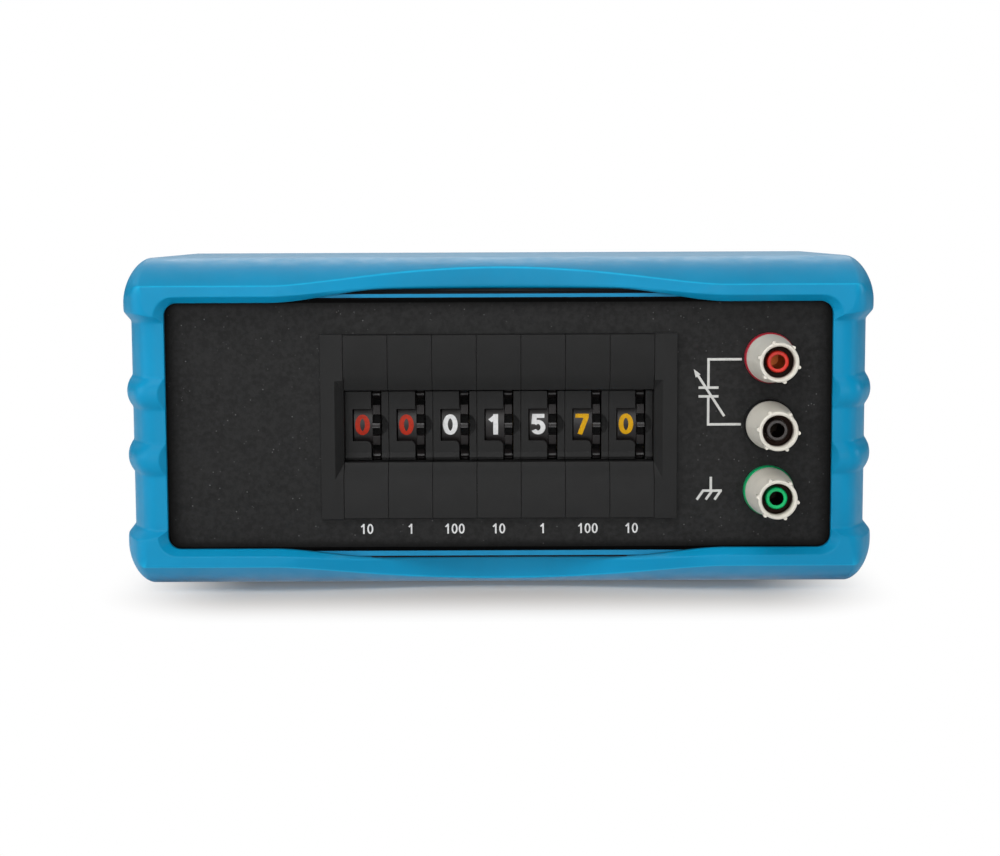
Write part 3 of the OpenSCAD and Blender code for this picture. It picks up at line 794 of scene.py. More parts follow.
class PaintShop:
    """Makes each finish once and puts it on pieces."""

    def __init__(self) -> None:
        """Starts with no finish made."""
        self.made: dict[str, bpy.types.Material] = {}

    def material(self, slot: str) -> bpy.types.Material:
        """Gives a finish's material, which is made the first time.

        Args:
            slot: One of the record's slots, or the name of another finish.

        Returns:
            The material.
        """
        if slot not in self.made:
            self.made[slot] = FINISHES[slot].build()
        return self.made[slot]

    def add(self, name: str, finish: Finish) -> str:
        """Takes in a finish that depends on a piece's place, and gives its name back."""
        self.made[name] = finish.build()
        return name

    def dress(self, piece: bpy.types.Object, slot: str) -> None:
        """Puts a slot's finish on every face of a piece."""
        piece.data.materials.clear()
        piece.data.materials.append(self.material(slot))


def solid_piece(
    name: str, points: np.ndarray, faces: Sequence[Sequence[int]], sharp_deg: float = 40.0
) -> bpy.types.Object:
    """Makes a mesh object with smooth faces and sharp edges over an angle.

    Args:
        name: The object's name.
        points: Its points in metres.
        faces: Its faces as point numbers.
        sharp_deg: Edges that turn by more than this stay sharp.

    Returns:
        The object, linked to the scene.
    """
    mesh = bpy.data.meshes.new(name)
    mesh.from_pydata([tuple(p) for p in points], [], [tuple(f) for f in faces])
    mesh.update()
    mesh.shade_smooth()
    mesh.set_sharp_from_angle(angle=math.radians(sharp_deg))
    piece = bpy.data.objects.new(name, mesh)
    bpy.context.scene.collection.objects.link(piece)
    return piece


def loop_faces(
    rows: int, columns: int, close_rows: bool, close_columns: bool
) -> list[tuple[int, ...]]:
    """Quads between the points of a grid that is stored row by row.

    Args:
        rows: Number of rows.
        columns: Number of points in a row.
        close_rows: Whether the last row joins the first.
        close_columns: Whether each row's last point joins its first.

    Returns:
        The quads.
    """
    faces = []
    for i in range(rows if close_rows else rows - 1):
        for j in range(columns if close_columns else columns - 1):
            a, b = i * columns, (i + 1) % rows * columns
            k = (j + 1) % columns
            faces.append((a + j, b + j, b + k, a + k))
    return faces


def rounded_corners(points: list[np.ndarray], radii: list[float]) -> list[np.ndarray]:
    """Replaces marked corners of a section by short curves of four points.

    Args:
        points: The section's points.
        radii: How far each corner's curve reaches, or 0 where it stays sharp.

    Returns:
        The points of the rounded section.
    """
    most = 0.42  # share of a straight stretch that one curve may take
    out = []
    for i, (p, r) in enumerate(zip(points, radii)):
        if r == 0.0:
            out.append(p)
            continue
        back, ahead = points[i - 1] - p, points[i + 1] - p
        start = p + back / np.linalg.norm(back) * min(r, most * np.linalg.norm(back))
        end = p + ahead / np.linalg.norm(ahead) * min(r, most * np.linalg.norm(ahead))
        for t in (0.0, 0.33, 0.67, 1.0):
            out.append((1 - t) ** 2 * start + 2 * t * (1 - t) * p + t * t * end)
    return out


def outward(piece: bpy.types.Object) -> bpy.types.Object:
    """Turns the faces of a closed piece outwards.

    Args:
        piece: The piece.

    Returns:
        The same piece.
    """
    shape = bmesh.new()
    shape.from_mesh(piece.data)
    bmesh.ops.recalc_face_normals(shape, faces=shape.faces)
    shape.to_mesh(piece.data)
    shape.free()
    return piece


def even_normals(piece: bpy.types.Object) -> None:
    """Keeps large faces flat where they meet small rounded ones.

    Args:
        piece: The piece, which gets a modifier for it.
    """
    finish = piece.modifiers.new("even_normals", "WEIGHTED_NORMAL")
    finish.keep_sharp = True
    finish.weight = 75  # lets the larger face win, where 50 is an even share


def baked(piece: bpy.types.Object) -> bpy.types.Object:
    """Turns a piece with modifiers into a plain mesh of the same name.

    Args:
        piece: The piece, whose modifiers are taken off.

    Returns:
        The same object with its result as its mesh.
    """
    graph = bpy.context.evaluated_depsgraph_get()
    result = bpy.data.meshes.new_from_object(piece.evaluated_get(graph), depsgraph=graph)
    piece.modifiers.clear()
    piece.data = result
    result.name = piece.name
    return piece


def softened(node: bpy.types.Object, name: str, radius: float) -> bpy.types.Object:
    """Copies a CAD node with its edges rounded, as a moulded or stamped part has them.

    Args:
        node: The CAD node, which is left alone.
        name: Name of the copy.
        radius: Width of the rounding in millimetres.

    Returns:
        The rounded copy.
    """
    # Faces closer than the first are one, edges over the second are rounded, over the third sharp
    flat, turn, sharp = (math.radians(angle) for angle in (0.4, 30.0, 50.0))
    mesh = node.data.copy()
    mesh.name = name
    shape = bmesh.new()
    shape.from_mesh(mesh)
    bmesh.ops.remove_doubles(shape, verts=shape.verts, dist=1e-6)
    bmesh.ops.dissolve_limit(shape, angle_limit=flat, verts=shape.verts, edges=shape.edges)
    shape.to_mesh(mesh)
    shape.free()
    mesh.shade_smooth()
    piece = bpy.data.objects.new(name, mesh)
    bpy.context.scene.collection.objects.link(piece)
    rounding = piece.modifiers.new("rounding", "BEVEL")
    rounding.width = radius * MM
    rounding.segments = 2
    rounding.limit_method = "ANGLE"
    rounding.angle_limit = turn
    rounding.use_clamp_overlap = False
    rounding.miter_outer = "MITER_ARC"
    baked(piece)
    piece.data.shade_smooth()
    piece.data.set_sharp_from_angle(angle=sharp)
    even_normals(piece)
    return piece


class SubAssembly:
    """What every sub-assembly shares: the frame, the datum and the paint shop."""

    def __init__(self, frame: dict, datum: Datum, paint: PaintShop) -> None:
        """Keeps what the sub-assembly works with.

        Args:
            datum: Place of the panel's axes.
            paint: Maker of the finishes.
        """
        self.frame = frame
        self.datum = datum
        self.paint = paint
        self.slots = {s["node"]: s["material_slot"] for s in frame["record"]["subparts"]}
        self.body_of = {
            node: body
            for body, nodes in frame["record"]["behaviour"]["bodies"].items()
            for node in nodes
        }

    def dress_node(self, node: str, finish: str | None = None) -> None:
        """Gives a CAD node a finish.

        Args:
            node: The node.
            finish: The finish, where that isn't the slot's own.
        """
        finish = finish or self.slots[node]
        self.paint.dress(self.frame["nodes"][node], finish)
        LOG.info("%s keeps its CAD shape, finish %s", node, finish)

    def fit(
        self, piece: bpy.types.Object, body: str, slot: str, *replaced: str, finish: str = ""
    ) -> None:
        """Args:
            piece: The piece, in place.
            body: Name of the body that it rides on.
            slot: The record's slot that it belongs to.
            *replaced: CAD nodes that it stands for.
            finish: Its finish, where that isn't the slot's own.
        """
        self.paint.dress(piece, finish or slot)
        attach(piece, body)
        if replaced:
            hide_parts(*replaced)
        LOG.info("%s rides on %s, %d faces", piece.name, body, len(piece.data.polygons))

    def soften_node(self, node: str, radius: float) -> bpy.types.Object:
        """Replaces a CAD node by a copy with rounded edges.

        Args:
            node: The node.
            radius: Width of the rounding in millimetres.

        Returns:
            The copy.
        """
        piece = softened(self.frame["nodes"][node], f"{node}_rounded", radius)
        self.fit(piece, self.body_of[node], self.slots[node], node)
        return piece


@dataclass(frozen=True)
class BootForm:
    """Sizes of the boot's skin, named as in the boot's section."""

    # Outside
    half_w: float = 109.0
    half_h: float = 47.7
    depth: float = 130.0
    front: float = -7.0
    # Lip round the panel: its outline, its front edge and the step behind it
    lip_w: float = 94.6
    lip_h: float = 35.15
    lip_r: float = 3.6
    lip_y: float = -4.6
    lip_back: float = -3.1
    lip_land: float = 0.4
    lip_t: float = 1.5
    lip_round: float = 0.3
    # Front face: the bevel at its inside and the ridge at its outside
    bevel_side: float = 2.5
    bevel_top: float = 1.75
    bevel_least: float = 0.36
    bevel_flat: float = 0.05
    bevel_round: float = 0.4
    face_rows: tuple[float, ...] = (0.08, 0.9)
    ridge_w: float = 102.3
    ridge_h: float = 39.9
    ridge_r: float = 1.5
    ridge_round_top: float = 0.55
    ridge_round_side: float = 3.2
    ridge_most: float = 0.6
    # Dome behind the ridge, up to the crest
    dome_run: float = 22.0
    dome_crowd: float = 1.15
    crest_run: float = 8.0
    crest_fall: float = 13.0
    crest_power: float = 1.143
    # Scallop in the middle of the top and the foot, and the lifted lip over it
    scallop_depth: float = 8.8
    scallop_half: float = 64.0
    scallop_power: float = 1.5
    brow_lift: float = 3.6
    brow_from: float = 36.0
    brow_to: float = 72.0
    brow_shade: float = 0.5
    foot_drop: float = 0.9
    # Bumpers at the corners and grip ribs on the sides
    bumper_rise: float = 2.1
    bumper_z: float = 32.4
    bumper_foot_z: float = 29.7
    grip_z: float = 9.4
    grip_half: float = 4.5
    grip_rise: float = 1.6
    blend_z: float = 0.45
    # Inside, with a relief cut deeper behind the front
    cavity_w: float = 98.1
    cavity_h: float = 37.9
    cavity_r: float = 5.6
    relief: float = 5.0
    relief_y: tuple[float, float] = (10.0, 13.0)
    relief_end: tuple[float, float] = (4.0, 8.0)
    # How fine the loft is
    top_steps: int = 96
    corner_steps: int = 20
    dome_steps: int = 16
    bend: tuple[float, ...] = (0.0, 0.17, 0.33, 0.5, 0.67, 0.83, 1.0)

    @property
    def middle(self) -> float:
        """Place of the boot's middle along Y."""
        return self.front + self.depth / 2


class Run(Enum):
    """The stretches of a quarter of the boot's outline."""

    TOP = "top"
    CORNER = "corner"
    SIDE = "side"


@dataclass(frozen=True)
class Station:
    """A place on the outline: a share of the top, an angle of the corner or a side height."""

    run: Run
    value: float


@dataclass(frozen=True)
class Wave:
    """How far the scallop cuts in, the lip is lifted and the skin lies low at a station."""

    cut: float = 0.0
    lift: float = 0.0
    low: float = 0.0


class ProtectiveBoot(SubAssembly):
    """The moulded boot, lofted through sections round its outline."""

    form = BootForm()

    def stations(self) -> list[Station]:
        """Places of one quarter, from the top middle round the corner to the side middle.

        Returns:
            The stations, closest together where the skin bends.
        """
        f = self.form
        margin = f.blend_z + 0.15
        bumper_foot = f.bumper_foot_z - margin
        grip_top, grip_foot = f.grip_z + f.grip_half + margin, f.grip_z - f.grip_half - margin
        heights = [f.bumper_z + 1.0 - k / 6 for k in range(1, 6)]
        heights += list(np.linspace(f.bumper_z + 0.4, bumper_foot, 22, endpoint=False))
        heights += list(np.linspace(bumper_foot, grip_top, 8, endpoint=False))
        heights += list(np.linspace(grip_top, grip_foot, 34, endpoint=False))
        heights += list(np.linspace(grip_foot, 0.0, 5))
        top = [Station(Run.TOP, i / f.top_steps) for i in range(f.top_steps + 1)]
        corner = [
            Station(Run.CORNER, 90 - 90 * i / f.corner_steps) for i in range(1, f.corner_steps + 1)
        ]
        return top + corner + [Station(Run.SIDE, h) for h in heights]

    def side_height(self, z: float, h: float, r: float) -> float:
        """Height of a side station on one of the outlines.

        Args:
            z: The station's height on the side.
            h: The outline's half height.
            r: Its corner radius.

        Returns:
            The height, which is the same on every outline below the bumper.
        """
        f = self.form
        top = min(f.bumper_z, h - r - 0.25)
        if z <= f.bumper_foot_z:
            return z
        if z <= f.bumper_z:
            share = (z - f.bumper_foot_z) / (f.bumper_z - f.bumper_foot_z)
            return f.bumper_foot_z + share * (top - f.bumper_foot_z)
        return top + (h - r - top) * (z - f.bumper_z)

    def on_outline(self, at: Station, w: float, h: float, r: float) -> np.ndarray:
        """Point in X and Z of a station on a rounded rectangle.

        Args:
            at: The station.
            w: Half width of the rectangle.
            h: Its half height.
            r: Its corner radius.

        Returns:
            The point.
        """
        if at.run is Run.TOP:
            return np.array(((w - r) * at.value, h))
        if at.run is Run.CORNER:
            a = math.radians(at.value)
            return np.array((w - r + r * math.cos(a), h - r + r * math.sin(a)))
        return np.array((w, self.side_height(at.value, h, r)))

    def on_crest(self, at: Station, w: float, h: float) -> np.ndarray:
        """Point of the crest, whose corners fall off steeply towards the sides.

        Args:
            at: The station.
            w: Half width of the crest.
            h: Its half height.

        Returns:
            The point in X and Z.
        """
        f = self.form
        if at.run is Run.CORNER:
            a = math.radians(at.value)
            across, up = max(0.0, math.cos(a)), max(0.0, math.sin(a))
            x = w - f.crest_run * (1 - across**f.crest_power)
            return np.array((x, h - f.crest_fall * (1 - up**f.crest_power)))
        r = f.crest_run if at.run is Run.TOP else f.crest_fall
        return self.on_outline(at, w, h, r)

    def skin(self, z: float) -> float:
        """Height of the skin over the side recess, before its edges are rounded.

        Args:
            z: Height over or under the boot's middle.

        Returns:
            How far the bumper or a grip rib stands out there.
        """
        f = self.form
        if z >= f.bumper_z:
            return f.bumper_rise
        if z > f.bumper_foot_z:
            return f.bumper_rise * (z - f.bumper_foot_z) / (f.bumper_z - f.bumper_foot_z)
        r = (f.grip_half**2 + f.grip_rise**2) / (2 * f.grip_rise)
        d = abs(abs(z) - f.grip_z)
        return 0.0 if d >= f.grip_half else math.sqrt(r * r - d * d) - (r - f.grip_rise)

    def rounded_skin(self, z: float) -> float:
        """Height of the skin over the side recess with its edges rounded."""
        offsets = np.linspace(-self.form.blend_z, self.form.blend_z, 9)
        return float(np.mean([self.skin(z + d) for d in offsets]))

    @staticmethod
    def side_share(at: Station) -> float:
        """How far a station is on its way from the top, 0, round the corner to a side, 1."""
        share = {Run.TOP: 0.0, Run.CORNER: 1 - at.value / 90, Run.SIDE: 1.0}[at.run]
        return smooth_step(share)

    def wave(self, at: Station, drop: float) -> Wave:
        """Tells how a section differs from the plain one.

        Args:
            at: The station.
            drop: How much less the lip is lifted in the middle.

        Returns:
            The scallop and the lift on the top, or the recess on a side.
        """
        f = self.form
        if at.run is Run.CORNER:
            return Wave()
        if at.run is Run.SIDE:
            return Wave(low=f.bumper_rise - self.rounded_skin(at.value))
        x, cut = self.on_outline(at, f.ridge_w, f.ridge_h, f.ridge_r)[0], 0.0
        if x < f.scallop_half:
            cut = f.scallop_depth * math.cos(math.pi / 2 * x / f.scallop_half) ** f.scallop_power
        lift = smooth_step((f.brow_to - x) / (f.brow_to - f.brow_from)) * (f.brow_lift - drop)
        return Wave(cut, lift)

    def lip_corners(self, at: Station, wave: Wave) -> list[np.ndarray]:
        """Corners of a section from the boot's inside round the lip to the front face.

        Args:
            at: The station.
            wave: How its section differs from the plain one.

        Returns:
            The eight corners, the first of them inside.
        """
        f = self.form
        face_y = f.front + wave.cut + wave.low
        widen = f.bevel_least + (1 - f.bevel_least) * (1 - wave.lift / f.brow_lift)
        bevel = f.bevel_top + (f.bevel_side - f.bevel_top) * self.side_share(at)
        bevel = bevel * (1 - wave.low / f.bumper_rise) * widen + f.bevel_flat
        lip_z = f.lip_h + wave.lift
        lip_front = max(f.lip_y, face_y + f.lip_land)
        back_y = lip_front + f.lip_t if lip_z > f.cavity_h else f.lip_back
        cavity = (f.cavity_w, f.cavity_h, f.cavity_r)
        inner = self.on_outline(at, *cavity)
        deep = self.on_outline(at, *(v + f.relief for v in cavity))
        lip = self.on_outline(at, f.lip_w, lip_z, f.lip_r)
        edge = self.on_outline(at, f.lip_w + bevel, lip_z + bevel, f.lip_r + bevel)
        points = [
            (inner, f.middle - f.relief_end[0]), (deep, f.middle - f.relief_end[1]),
            (deep, f.relief_y[1]), (inner, f.relief_y[0]),
            (inner, back_y), (lip, back_y), (lip, lip_front), (edge, face_y),
        ]
        return [np.array((p[0], y, p[1])) for p, y in points]

    def half_section(self, at: Station, drop: float) -> tuple[list[np.ndarray], list[float]]:
        """Section points of the front half, from the inside round the lip to the crest.

        Args:
            at: The station.
            drop: How much less the lip is lifted in the middle.

        Returns:
            The points and each one's tone: -1 painted shade inside, 1 painted highlight on the
            ridge, 0 elsewhere.
        """
        f, side, wave = self.form, self.side_share(at), self.wave(at, drop)
        ridge = self.on_outline(at, f.ridge_w - wave.low, f.ridge_h, f.ridge_r)
        crest = self.on_crest(at, f.half_w - wave.low, f.half_h)

        def dome(q: float) -> np.ndarray:
            """Point of the dome, from the ridge at 0 to the crest at 1."""
            out = ridge + (crest - ridge) * (1 - (1 - q) ** 2)
            return np.array((out[0], f.front + wave.low * (1 - q) + f.dome_run * q, out[1]))

        # The scallop cuts the dome off at q0, and top is the sharp corner that it leaves there
        q0 = wave.cut / f.dome_run
        top = dome(q0)
        radii = [0.0] * 6 + [f.lip_round, f.bevel_round, 0.0]
        lip = rounded_corners(self.lip_corners(at, wave) + [top], radii)[:-1]
        foot = lip[-1]
        # The ridge is a curve from the front face to the dome
        radius = f.ridge_round_top + (f.ridge_round_side - f.ridge_round_top) * side
        face = np.linalg.norm(foot - top)
        start = top + (foot - top) / face * min(radius, f.ridge_most * face)
        tries = np.linspace(q0, 1, 400)
        q = next(v for v in tries if np.linalg.norm(dome(v) - top) >= radius)
        near = [foot + (start - foot) * share for share in f.face_rows]
        bend = [(1 - t) ** 2 * start + 2 * t * (1 - t) * top + t * t * dome(q) for t in f.bend]
        shares = [k / f.dome_steps for k in range(1, f.dome_steps + 1)]
        back = [dome(q + (1 - q) * share**f.dome_crowd) for share in shares]
        # Painted shade on the lifted lip and a painted highlight along the ridge's bend
        shade = f.brow_shade * wave.lift / f.brow_lift
        tone = [-1.0] * 6 + [-shade] * 4 + [0.0] * (4 + len(near))
        tone += [(1 - side) * math.sin(math.pi * t) for t in f.bend] + [0.0] * len(back)
        return lip + near + bend + back, tone

    def section(self, at: Station, drop: float) -> tuple[np.ndarray, list[float]]:
        """Whole closed section at a station: the front half and its mirror image.

        Args:
            at: The station.
            drop: How much less the lip is lifted in the middle.

        Returns:
            The points and their tones.
        """
        points, tone = self.half_section(at, drop)
        front = np.array(points)
        back = front[::-1].copy()
        back[:, 1] = 2 * self.form.middle - back[:, 1]
        return np.vstack((front, back)), tone + tone[::-1]

    def build(self) -> None:
        """Lofts the boot and puts it in the place of its CAD node."""
        stations = self.stations()
        quarters = {
            1: [self.section(at, 0.0) for at in stations],
            -1: [self.section(at, self.form.foot_drop) for at in stations],
        }
        flips = [(1, 1), (1, -1), (-1, -1), (-1, 1)]
        ring, tones = [], []
        for k, (sx, sz) in enumerate(flips):
            turned = [(q * np.array((sx, 1, sz)), tone) for q, tone in quarters[sz]]
            turned = turned[:-1] if k % 2 == 0 else turned[:0:-1]
            ring += [q for q, _ in turned]
            tones += [t for _, tone in turned for t in tone]
        faces = loop_faces(len(ring), len(ring[0]), True, True)
        points = self.datum.metres(np.vstack(ring))
        boot = solid_piece("moulded_boot", points, [q[::-1] for q in faces], sharp_deg=55.0)
        # The tone attribute carries the painted shade and highlight to the boot's material
        boot.data.attributes.new("tone", "FLOAT", "POINT").data.foreach_set("value", tones)
        even_normals(boot)
        self.fit(boot, "box", "boot_rubber", "protective_boot")


@dataclass(frozen=True)
class SealForm:
    """Sizes of the black band round the front panel that stands for the shade there."""

    half_w: float = 96.05
    half_h: float = 35.85
    r: float = 4.1
    profile: tuple[Point, ...] = (
        (0.6, -2.9, 0.15), (0.6, -3.07, 0.15), (0.0, -3.07, 0.0), (0.0, -0.5, 0.0),
        (-0.9, -0.5, -0.45), (-0.9, 0.01, -0.45), (0.1, 0.01, 0.1), (0.1, -2.9, 0.1),
    )
    corner_steps: int = 12


class CaseAndPanels(SubAssembly):
    """Case shells, their screws, the two painted panels and a black band of shade round the front
    panel.
    """

    form = SealForm()

    def frame_loop(self, out: float, y: float, foot_out: float) -> list[Point]:
        """One line of the black shade band, a rounded rectangle.

        Args:
            out: How far the line lies outside the case's inner edge.
            y: Its place from front to back.
            foot_out: How far it lies outside along the foot.

        Returns:
            The points, corner by corner from the upper right.
        """
        f = self.form
        w, top, r = f.half_w + out, f.half_h + out, f.r + out
        foot = -f.half_h - foot_out
        loop = []
        for k, (sx, z) in enumerate(((1, top - r), (-1, top - r), (-1, foot + r), (1, foot + r))):
            corner = arc(sx * (w - r), z, r, r, 90.0 * k, 90.0 * (k + 1), f.corner_steps)
            loop += [(x, y, height) for x, height in corner]
        return loop

    def seal(self) -> None:
        """Builds the black band of shade that grips the case's edge and lies on the front panel."""
        rows = [self.frame_loop(*line) for line in self.form.profile]
        points = self.datum.metres([p for row in rows for p in row])
        piece = solid_piece("panel_seal", points, loop_faces(len(rows), len(rows[0]), True, True))
        self.fit(outward(piece), "box", "black_plastic", finish="shade_band_black")

    def build(self) -> None:
        """Dresses the shells, screws and panels and lays the black shade band."""
        for node in ("top_shell", "bottom_shell", "case_screws", "front_panel", "rear_panel"):
            self.dress_node(node)
        self.seal()


@dataclass(frozen=True)
class Nib:
    """Half widths of a pen's stroke: of upright strokes and of level ones."""

    upright: float
    level: float

    def reach(self, way: np.ndarray) -> np.ndarray:
        """Point of the nib's oval that lies furthest in a direction."""
        half = np.array((self.upright, self.level))
        return half * half * way / np.linalg.norm(half * way)


def arc(
    x: float, z: float, rx: float, rz: float, start: float, end: float, steps: int = 0
) -> list[XZ]:
    """Points of an oval arc.

    Args:
        x: Middle in X.
        z: Middle in Z.
        rx: Half width.
        rz: Half height.
        start: First angle in degrees, from +X towards +Z.
        end: Last angle.
        steps: How many steps it has, or 0 for one every 10 degrees or so.

    Returns:
        The points.
    """
    steps = steps or max(3, round(abs(end - start) / 10))
    turns = [math.radians(start + (end - start) * k / steps) for k in range(steps + 1)]
    return [(x + rx * math.cos(t), z + rz * math.sin(t)) for t in turns]


def ring_path(x: float, z: float, rx: float, rz: float) -> list[XZ]:
    """Points of a whole oval, without the last, which is the first again."""
    return arc(x, z, rx, rz, 0.0, 360.0)[:-1]


def stroke_loops(path: Sequence[XZ], nib: Nib, closed: bool) -> list[list[XZ]]:
    """Outlines of a pen's stroke along a path.

    Args:
        path: The stroke's middle.
        nib: The pen.
        closed: Whether the path joins up, which gives an outer and an inner outline.

    Returns:
        One outline, or two for a closed path.
    """
    p = [np.array(q, float) for q in path]
    n = len(p)
    left, right = [], []
    for i, q in enumerate(p):
        pairs = ((i - 1, i), (i, i + 1))
        if not closed:
            pairs = [(a, b) for a, b in pairs if a >= 0 and b < n]
        ways = [p[b % n] - p[a % n] for a, b in pairs]
        ways = [w / np.linalg.norm(w) for w in ways]
        mean = sum(np.array((-w[1], w[0])) for w in ways)
        mean = mean / np.linalg.norm(mean)
        across = np.array((-ways[0][1], ways[0][0]))
        offset = nib.reach(mean) * min(1.5, 1.0 / max(0.2, float(mean @ across)))
        left.append(tuple(q + offset))
        right.append(tuple(q - offset))
    return [left, right] if closed else [left + right[::-1]]


OPEN, CLOSED = False, True
FIGURES: dict[str, list[tuple[bool, list[XZ]]]] = {
    "0": [(CLOSED, ring_path(0, 0, 1, 1))],
    "1": [(OPEN, [(0.3, 1.24), (0.3, -1.24)]), (OPEN, [(0.3, 0.98), (-0.85, 0.42)])],
    "2": [
        (OPEN, arc(0, 0.4, 1, 0.6, 165, -30) + [(-0.85, -0.95)]),
        (OPEN, [(-1.4, -1), (1.4, -1)]),
    ],
    "3": [
        (OPEN, arc(-0.05, 0.5, 0.95, 0.5, 155, -90)),
        (OPEN, arc(-0.05, -0.5, 1.05, 0.5, 90, -155)),
    ],
    "4": [
        (OPEN, [(0.4, 1.1), (-1.05, -0.35)]),
        (OPEN, [(-1.45, -0.38), (1.45, -0.38)]),
        (OPEN, [(0.45, 1.24), (0.45, -1.24)]),
    ],
    "5": [
        (OPEN, [(-1.2, 1), (1.3, 1)]),
        (OPEN, [(-0.72, 1.1), (-0.86, 0.02)]),
        (OPEN, arc(0, -0.36, 1, 0.64, 140, -150)),
    ],
    "6": [
        (CLOSED, ring_path(0, -0.38, 1, 0.62)),
        (OPEN, arc(0.25, -0.25, 1.25, 1.25, 68, 178)),
    ],
    "7": [(OPEN, [(-1.35, 1), (1.4, 1)]), (OPEN, [(0.95, 0.95), (-0.45, -1.24)])],
    "8": [(CLOSED, ring_path(0, 0.5, 0.88, 0.5)), (CLOSED, ring_path(0, -0.46, 1, 0.54))],
    "9": [
        (CLOSED, ring_path(0, 0.38, 1, 0.62)),
        (OPEN, arc(-0.25, 0.25, 1.25, 1.25, 248, 358)),
    ],
}


@dataclass(frozen=True)
class Lettering:
    """Size of a set of figures: half width and half height over all, nib and spacing."""

    half_w: float
    half_h: float
    nib: Nib
    advance: float = 0.0

    def loops(self, text: str) -> list[list[list[XZ]]]:
        """Outlines of a number, centred on the origin.

        Args:
            text: The number's figures.

        Returns:
            The outlines of each stroke.
        """
        rx, rz = self.half_w - self.nib.upright, self.half_h - self.nib.level
        strokes = []
        for k, figure in enumerate(text):
            shift = (k - (len(text) - 1) / 2) * self.advance
            for closed, path in FIGURES[figure]:
                placed = [
                    (x * rx + shift, max(-self.half_h, min(self.half_h, z * rz))) for x, z in path
                ]
                strokes.append(stroke_loops(placed, self.nib, closed))
        return strokes


def joined_meshes(name: str, meshes: Iterable[tuple[bpy.types.Mesh, Vector]]) -> bpy.types.Object:
    """Joins meshes, each moved by its own offset, into one object.

    Args:
        name: Name of the object.
        meshes: The meshes and their offsets in metres.

    Returns:
        The object, linked to the scene.
    """
    shape = bmesh.new()
    for mesh, offset in meshes:
        copy = mesh.copy()
        copy.transform(Matrix.Translation(offset))
        shape.from_mesh(copy)
        bpy.data.meshes.remove(copy)
    result = bpy.data.meshes.new(name)
    shape.to_mesh(result)
    shape.free()
    piece = bpy.data.objects.new(name, result)
    bpy.context.scene.collection.objects.link(piece)
    return piece


def print_mesh(strokes: Sequence[list[list[XZ]]]) -> bpy.types.Mesh:
    """Thin ink with the given outlines, which stands on Y = 0 and faces -Y.

    Args:
        strokes: Outlines in X and Z, in millimetres, one list for each stroke.

    Returns:
        The mesh in metres, its strokes made one.
    """
    shape = bmesh.new()
    for loops in strokes:
        edges = []
        for loop in loops:
            rim = [shape.verts.new((x * MM, 0.0, z * MM)) for x, z in loop]
            edges += [shape.edges.new((a, b)) for a, b in zip(rim, rim[1:] + rim[:1])]
        filled = bmesh.ops.triangle_fill(shape, edges=edges, use_beauty=True)["geom"]
        flat = [face for face in filled if isinstance(face, bmesh.types.BMFace)]
        raised = bmesh.ops.extrude_face_region(shape, geom=flat, use_keep_orig=True)["geom"]
        moved = [v for v in raised if isinstance(v, bmesh.types.BMVert)]
        bmesh.ops.translate(shape, verts=moved, vec=(0, -PRINT_T * MM, 0))
    bmesh.ops.recalc_face_normals(shape, faces=shape.faces)
    mesh = bpy.data.meshes.new("ink")
    shape.to_mesh(mesh)
    shape.free()
    return united(mesh)


def add_inputs(tree: bpy.types.NodeTree, **names: list[str]) -> None:
    """Adds named inputs to a geometry tree.

    Args:
        tree: The tree.
        **names: The inputs' names by the kind of value that they take.
    """
    for kind, group in names.items():
        for name in group:
            tree.interface.new_socket(name, in_out="INPUT", socket_type=f"NodeSocket{kind}")


def united(mesh: bpy.types.Mesh) -> bpy.types.Mesh:
    """Makes overlapping solids of one mesh into one, by a Geometry Nodes union.

    Args:
        mesh: The overlapping solids.

    Returns:
        The united mesh.
    """
    tree = bpy.data.node_groups.new("unite", "GeometryNodeTree")
    add_inputs(tree, Geometry=["Strokes"])
    tree.interface.new_socket("Ink", in_out="OUTPUT", socket_type="NodeSocketGeometry")
    b = Bench(tree)
    one = b.node(
        "GeometryNodeMeshBoolean",
        {"operation": "UNION", "solver": "EXACT"},
        {"Mesh 2": b.group_input("Strokes"), "Self Intersection": True},
    )
    b.node("NodeGroupOutput", inputs={0: b.node("GeometryNodeRealizeInstances", inputs={0: one})})
    piece = bpy.data.objects.new("ink", mesh)
    bpy.context.scene.collection.objects.link(piece)
    piece.modifiers.new("unite", "NODES").node_group = tree
    result = baked(piece).data
    bpy.data.objects.remove(piece)
    bpy.data.node_groups.remove(tree)
    return in_fixed_order(result)


def in_fixed_order(mesh: bpy.types.Mesh) -> bpy.types.Mesh:
    """Sorts a mesh's points and faces by place, because a union gives them in any order.

    Args:
        mesh: The mesh, which is removed.

    Returns:
        The same shape in an order that is the same in each run.
    """
    places = [tuple(point.co) for point in mesh.vertices]
    order = sorted(range(len(places)), key=places.__getitem__)
    rank = {old: new for new, old in enumerate(order)}
    faces = []
    for face in mesh.polygons:
        ring = [rank[index] for index in face.vertices]
        first = ring.index(min(ring))
        faces.append(ring[first:] + ring[:first])
    result = bpy.data.meshes.new(mesh.name)
    result.from_pydata([places[index] for index in order], [], sorted(faces))
    bpy.data.meshes.remove(mesh)
    return result


